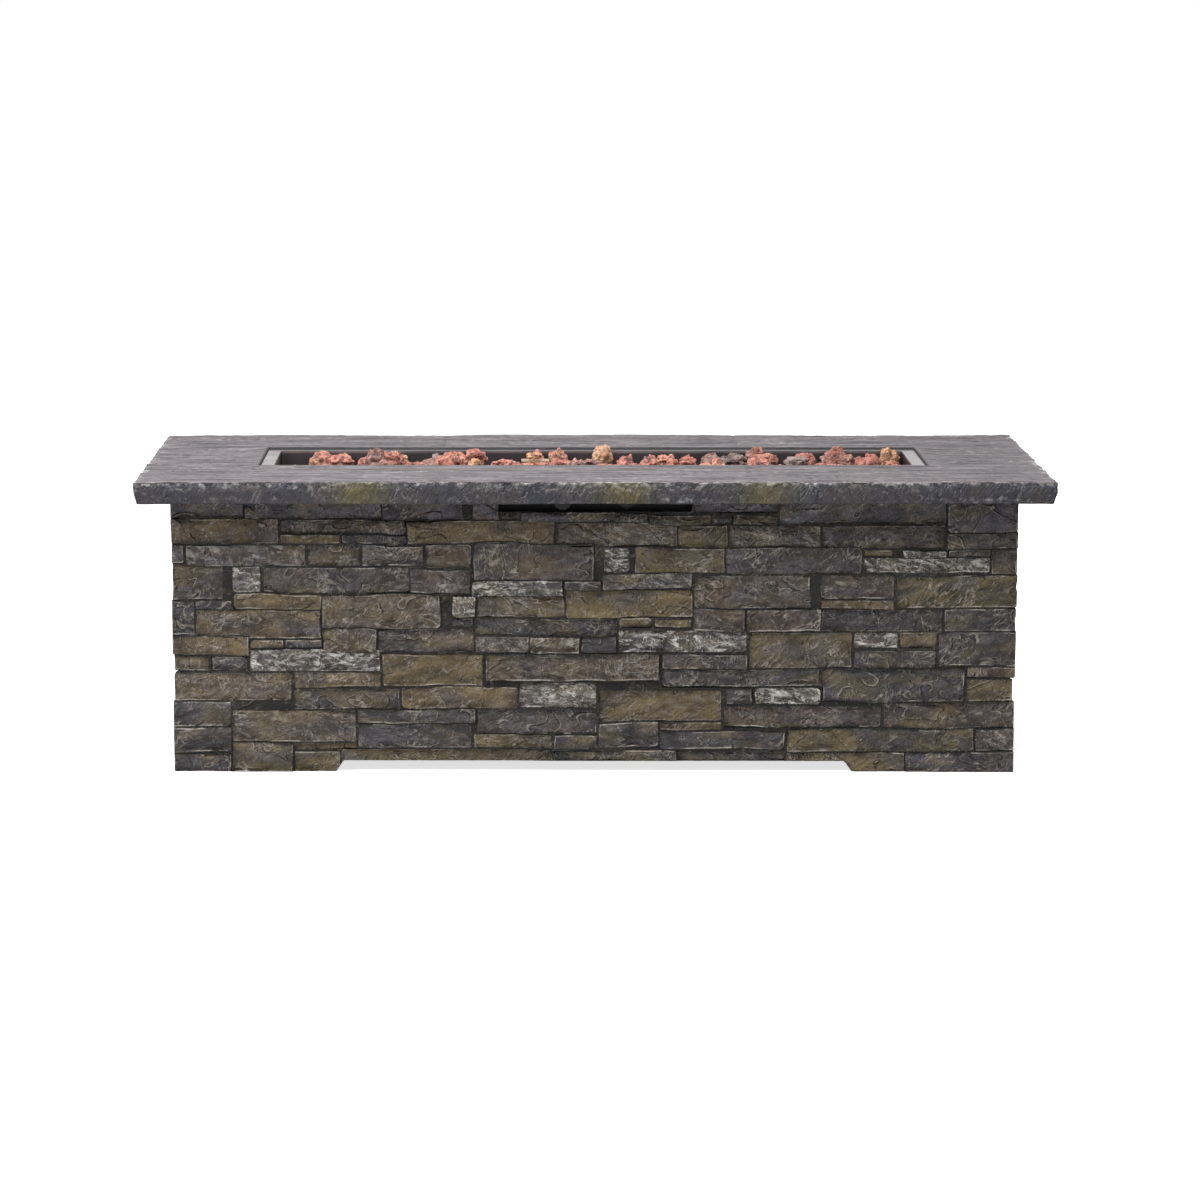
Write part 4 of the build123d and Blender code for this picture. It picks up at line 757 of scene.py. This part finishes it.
# Controls: a black powder-coated panel behind the notch carries a moulded knob and a push-button igniter.
# The knob and the igniter are moulded in black plastic with a fine spark texture, and the button is polished.
# The panel and the knob are coloured darker than their coat and plastic, as painted shade in the notch.


def coloured_skin(name, colour, roughness, grain_mm, grain_depth, gloss=0.5):
    """Plastic, paint or rubber: one colour that drifts slightly, with a fine moulded or sprayed grain."""
    material, tree, surface = new_material(name)
    place = add(tree, "TexCoord", "Object")
    grain = add(tree, "TexNoise", inputs={"Vector": place, "Scale": per_mm(grain_mm), "Detail": 3.0})
    shade = patches(tree, place, 18, 3.0, 0.0, 1.0, 0.8, 1.25)
    tone = add(tree, "Mix", "Result_Color", data_type="RGBA", blend_type="MULTIPLY", inputs={
        "Factor_Float": 1.0, "A_Color": linear(colour), "B_Color": shade})
    dull = add(tree, "MapRange", inputs={
        "Value": grain, "To Min": roughness - 0.08, "To Max": roughness + 0.08})
    bump = add(tree, "Bump", inputs={"Height": grain, "Distance": grain_depth * MM, "Strength": 0.5})
    shader = add(tree, "BsdfPrincipled", inputs={
        "Base Color": tone, "Roughness": dull, "Normal": bump, "Specular IOR Level": gloss})
    tree.links.new(shader, surface)
    return material


# Painted shade: the panel and the knob are coloured darker than their black coat and plastic, for the notch's
# shade.
dress(coloured_skin("black_coat_painted_shade", "#0a0a0b", 0.65, 1.2, 0.08, 0.2), "control_panel")
dress(coloured_skin("black_knob_painted_shade", "#101011", 0.5, 0.7, 0.05, 0.25), "control_knob")
dress(coloured_skin("black_moulded_igniter", "#111112", 0.5, 0.7, 0.05, 0.25), "igniter_body", "igniter_nut")
dress(coloured_skin("polished_button", "#171718", 0.22, 3.0, 0.01), "igniter_button")
dress(coloured_skin("battery_sleeve", "#2b2b2f", 0.3, 2.0, 0.01), "igniter_battery")
dress(coloured_skin("fired_alumina", "#e2ddd0", 0.35, 0.8, 0.02), "electrode_insulator")
dress(coloured_skin("silicone_jacket", "#1f1d1d", 0.6, 1.0, 0.02), "spark_lead")

coil_steps, wire_sides = 36, 10
spring_wire = worked_metal("drawn_spring_wire", "#c4c4c4", "#a2a2a2", 0.22, 0.3, 3)


def coil(name, node, turns, wire):
    """Spring that squeezes with a joint: a round wire carried along a helix.

    Spring: a round wire carried along a helix.
    """
    low, high = (np.array(corner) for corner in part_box(node))
    centre, length = (low + high) / 2, high[1] - low[1]
    radius = (high[0] - low[0]) / 2 - wire / 2
    turn = np.linspace(0, 1, turns * coil_steps + 1)
    rise = smooth_step(turn, 0.04, 0.96) * 0.35 + turn * 0.65
    angle = turn * turns * 2 * math.pi
    around = np.linspace(0, 2 * math.pi, wire_sides, endpoint=False)
    reach = radius + wire / 2 * np.cos(around)
    x = centre[0] + np.cos(angle)[:, None] * reach
    z = centre[2] + np.sin(angle)[:, None] * reach
    y = low[1] + wire / 2 + (length - wire) * rise[:, None] + wire / 2 * np.sin(around)
    index = np.pad(np.arange(x.size).reshape(x.shape), ((0, 0), (0, 1)), "wrap")
    faces = grid_faces(index.T).tolist()
    faces += [index[0, :-1].tolist(), index[-1, -2::-1].tolist()]
    piece = add_piece(name, spread(x, y, z).reshape(-1, 3), faces, spring_wire)
    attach(piece, "base")
    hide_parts(node)
    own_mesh(piece)


coil("knob_return_coil", "knob_return_spring", 4, 1.0 * MM)
coil("igniter_return_coil", "igniter_spring", 5, 0.8 * MM)

# Lava rock: lumps of broken red, brown and tan lava, full of gas bubbles, lying loose in the pan.
# Each lump fills its CAD rock's space, so that the bed stands as high as it does in the solids.
lump_rows, lump_columns, boxiness = 32, 48, 2.4
lump_growth = (1.07, 1.07, 1.0)


def lump_grid():
    """Directions over a ball, pole to pole in rings, and the faces that join them, closed at both poles."""
    tilt = np.linspace(0, math.pi, lump_rows + 1)[1:-1]
    turn = np.linspace(0, 2 * math.pi, lump_columns, endpoint=False)
    ring = spread(np.outer(np.sin(tilt), np.cos(turn)), np.outer(np.sin(tilt), np.sin(turn)),
                  np.cos(tilt)[:, None])
    aims = np.vstack([[(0, 0, 1)], ring.reshape(-1, 3), [(0, 0, -1)]])
    index = 1 + np.arange(ring[..., 0].size).reshape(ring.shape[:2])
    index = np.pad(index, ((0, 0), (0, 1)), "wrap")
    top = spread(0, index[0, :-1], index[0, 1:])
    bottom = spread(len(aims) - 1, index[-1, 1:], index[-1, :-1])
    return aims, grid_faces(index.T), np.vstack([top, bottom])


def make_rocks(node, name, seed, slot, codes, dust):
    """Rocks of one kind: a boxy ball for each CAD lump, knobbled by noise and pitted by bubbles."""
    points, triangles = node_arrays(node)
    labels = islands(len(points), triangles)
    aims, sides, caps = lump_grid()
    places, faces, pits, stain = [], [], [], []
    boxy = (np.abs(aims) ** boxiness).sum(axis=1) ** (-1 / boxiness)
    for number, label in enumerate(np.unique(labels)):
        own = points[labels == label]
        low, high = own.min(axis=0), own.max(axis=0)
        shift = np.array([number * 5.3, seed * 7.1, 0])
        swell = 1 + 0.2 * noise(aims * 1.3 + shift, 61) + 0.16 * noise(aims * 2.9 + shift, 67)
        ball = aims * (boxy * swell)[:, None]
        ball /= np.where(aims > 0, ball.max(axis=0), -ball.min(axis=0))
        lump = ball * ((high - low) / 2 * lump_growth)
        knobs = rough_noise(lump / (9 * MM) + shift, 79, 2)
        bubbles = smooth_step(noise(lump / (5 * MM) + shift, 71), 0.05, 0.55)
        craters = smooth_step(noise(lump / (11 * MM) + shift, 73), 0.2, 0.65)
        dent = (1.4 - 1.8 * knobs + 2.0 * bubbles + 1.8 * craters) * MM
        lump = lump - aims * dent[:, None]
        faces += (sides + number * len(aims)).tolist() + (caps + number * len(aims)).tolist()
        places.append((low + high) / 2 + lump)
        # How deep each point lies in the bubbles and craters, for the painted shade there.
        pits.append(np.clip(0.8 * bubbles + 0.6 * craters - 0.4 * knobs, 0, 1))
        pick = int(scatter(np.array([number, seed, 3]), 5) * len(codes))
        stain.append(np.tile(linear(codes[pick]), (len(aims), 1)))
    attributes = {"pit": np.concatenate(pits), "stain": np.concatenate(stain)}
    piece = add_piece(name, np.vstack(places), faces, broken_lava(slot, dust), attributes)
    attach(piece, "base")
    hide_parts(node)


def broken_lava(kind, dust):
    """Porous lava: a stain for each lump, dusty where proud, with painted shade in the bubbles and fine
    pinholes.
    """
    material, tree, surface = new_material("broken_" + kind)
    place = add(tree, "TexCoord", "Object")
    pit = add(tree, "Attribute", "Fac", attribute_name="pit")
    colour = add(tree, "Attribute", "Color", attribute_name="stain")
    mottle = add(tree, "TexNoise", inputs={
        "Vector": place, "Scale": per_mm(9), "Detail": 6.0, "Roughness": 0.7})
    patch = add(tree, "MapRange", inputs={"Value": mottle, "From Min": 0.45, "From Max": 0.7})
    colour = painted(tree, colour, (patch, 0.7, dust))
    holes = add(tree, "TexVoronoi", "Distance", inputs={"Vector": place, "Scale": per_mm(3.4)})
    # Painted shade in the hollows: darker in the deep bubbles and at the middle of each fine pinhole.
    bubble_shade = add(tree, "MapRange", inputs={"Value": pit, "To Min": 1.0, "To Max": 0.3})
    pinhole_shade = add(tree, "MapRange", inputs={
        "Value": holes, "From Min": 0.1, "From Max": 0.4, "To Min": 0.5, "To Max": 1.0})
    for shade in (bubble_shade, pinhole_shade):
        colour = add(tree, "Mix", "Result_Color", data_type="RGBA", blend_type="MULTIPLY", inputs={
            "Factor_Float": 1.0, "A_Color": colour, "B_Color": shade})
    bump = add(tree, "Bump", inputs={"Height": holes, "Distance": 1.5 * MM, "Strength": 0.9})
    bump = add(tree, "Bump", inputs={
        "Height": mottle, "Distance": 2.0 * MM, "Strength": 0.7, "Normal": bump})
    shader = add(tree, "BsdfPrincipled", inputs={
        "Base Color": colour, "Roughness": 0.9, "Normal": bump, "IOR": 1.5})
    tree.links.new(shader, surface)
    return material


make_rocks("lava_rocks_red", "lava_lumps_red", 1, "lava_red",
           ("#9d6054", "#ad7164", "#986057", "#a86a58", "#8d5950"), "#cf9d8d")
make_rocks("lava_rocks_brown", "lava_lumps_brown", 2, "lava_brown",
           ("#7d5a53", "#8a645b", "#776663", "#8b584c"), "#b39a93")
make_rocks("lava_rocks_tan", "lava_lumps_tan", 3, "lava_tan",
           ("#ad7460", "#a56b5b", "#b58868", "#b07563", "#a86f60", "#b48c6c"), "#d2ac94")

# Studio: a pale floor that shows as white and keeps a soft shadow, a broad lamp overhead, a weaker one to the
# front left, one low behind on the right, and the photograph's camera, which looks slightly down from
# straight ahead through a long lens.
scene = bpy.context.scene
scene.view_settings.view_transform = "Standard"
white = (1.0, 1.0, 1.0, 1.0)
sky_strength = 0.19
floor_reach = 40.0
lamp_target = np.array((0.0, 0.0, 0.3))
camera_place, camera_dip = (-0.104, -5.690, 1.253), 10.15


def sees_background(tree):
    """1 for rays that show the background to the eye: straight from the camera, reflected or refracted."""
    seen = 0.0
    for kind in ("Is Camera Ray", "Is Glossy Ray", "Is Transmission Ray"):
        ray = add(tree, "LightPath", kind)
        seen = add(tree, "Math", operation="MAXIMUM", inputs={"Value": seen, "Value_001": ray})
    return seen


def white_floor():
    """Pale studio paper: to the eye its own glow plus the lamps' light comes to white outside the shadow.

    Far from the object, where the lamps fade, the glow alone is white.
    """
    material, tree, surface = new_material("studio_paper")
    place = add(tree, "TexCoord", "Object")
    far = add(tree, "VectorMath", "Value", operation="LENGTH", inputs={"Vector": place})
    strength = add(tree, "MapRange", interpolation_type="SMOOTHSTEP", inputs={
        "Value": far, "From Min": 1.0, "From Max": 2.2, "To Min": 0.72, "To Max": 1.0})
    paper = add(tree, "BsdfDiffuse", inputs={"Color": linear("#d9d9d9")})
    glow = add(tree, "Emission", inputs={"Color": white, "Strength": strength})
    lit = add(tree, "AddShader", inputs={"Shader": paper, "Shader_001": glow})
    seen = add(tree, "MixShader", inputs={
        "Fac": sees_background(tree), "Shader": paper, "Shader_001": lit})
    tree.links.new(seen, surface)
    return material


floor_corners = [(x * floor_reach, y * floor_reach, 0) for x, y in ((-1, -1), (1, -1), (1, 1), (-1, 1))]
floor_mesh = bpy.data.meshes.new("studio_floor")
floor_mesh.from_pydata(floor_corners, [], [(0, 1, 2, 3)])
floor_mesh.materials.append(white_floor())
floor = bpy.data.objects.new("studio_floor", floor_mesh)
scene.collection.objects.link(floor)

world = bpy.data.worlds.new("studio")
world.use_nodes = True
scene.world = world
world.node_tree.nodes.clear()
seen = sees_background(world.node_tree)
strength = add(world.node_tree, "MapRange", inputs={"Value": seen, "To Min": sky_strength, "To Max": 1.0})
sky = add(world.node_tree, "Background", inputs={"Color": white, "Strength": strength})
world_output = world.node_tree.nodes.new("ShaderNodeOutputWorld")
world.node_tree.links.new(sky, world_output.inputs["Surface"])

for name, power, size, place in (
    ("front", 54.0, (1.0, 0.8), (-2.4, -1.65, 2.0)),
    ("overhead", 101.0, (2.6, 1.4), (-0.3, -0.7, 2.4)),
    ("fill", 56.0, (1.6, 1.2), (2.8, 2.4, 1.0)),
):
    lamp = bpy.data.lights.new(name, "AREA")
    lamp.energy, lamp.shape = power, "RECTANGLE"
    lamp.size, lamp.size_y = size
    holder = bpy.data.objects.new(name, lamp)
    holder.location = place
    aim = lamp_target - place
    holder.rotation_euler = (
        math.atan2(math.hypot(aim[0], aim[1]), -aim[2]), 0.0, math.atan2(-aim[0], aim[1]))
    scene.collection.objects.link(holder)

camera_data = bpy.data.cameras.new("photo_camera")
camera_data.sensor_width = 36.0
camera_data.lens = 106.85
camera_data.shift_x = 0.0603
camera = bpy.data.objects.new("photo_camera", camera_data)
camera.location = camera_place
camera.rotation_euler = (math.radians(90 - camera_dip), 0.0, 0.0)
scene.collection.objects.link(camera)
scene.camera = camera
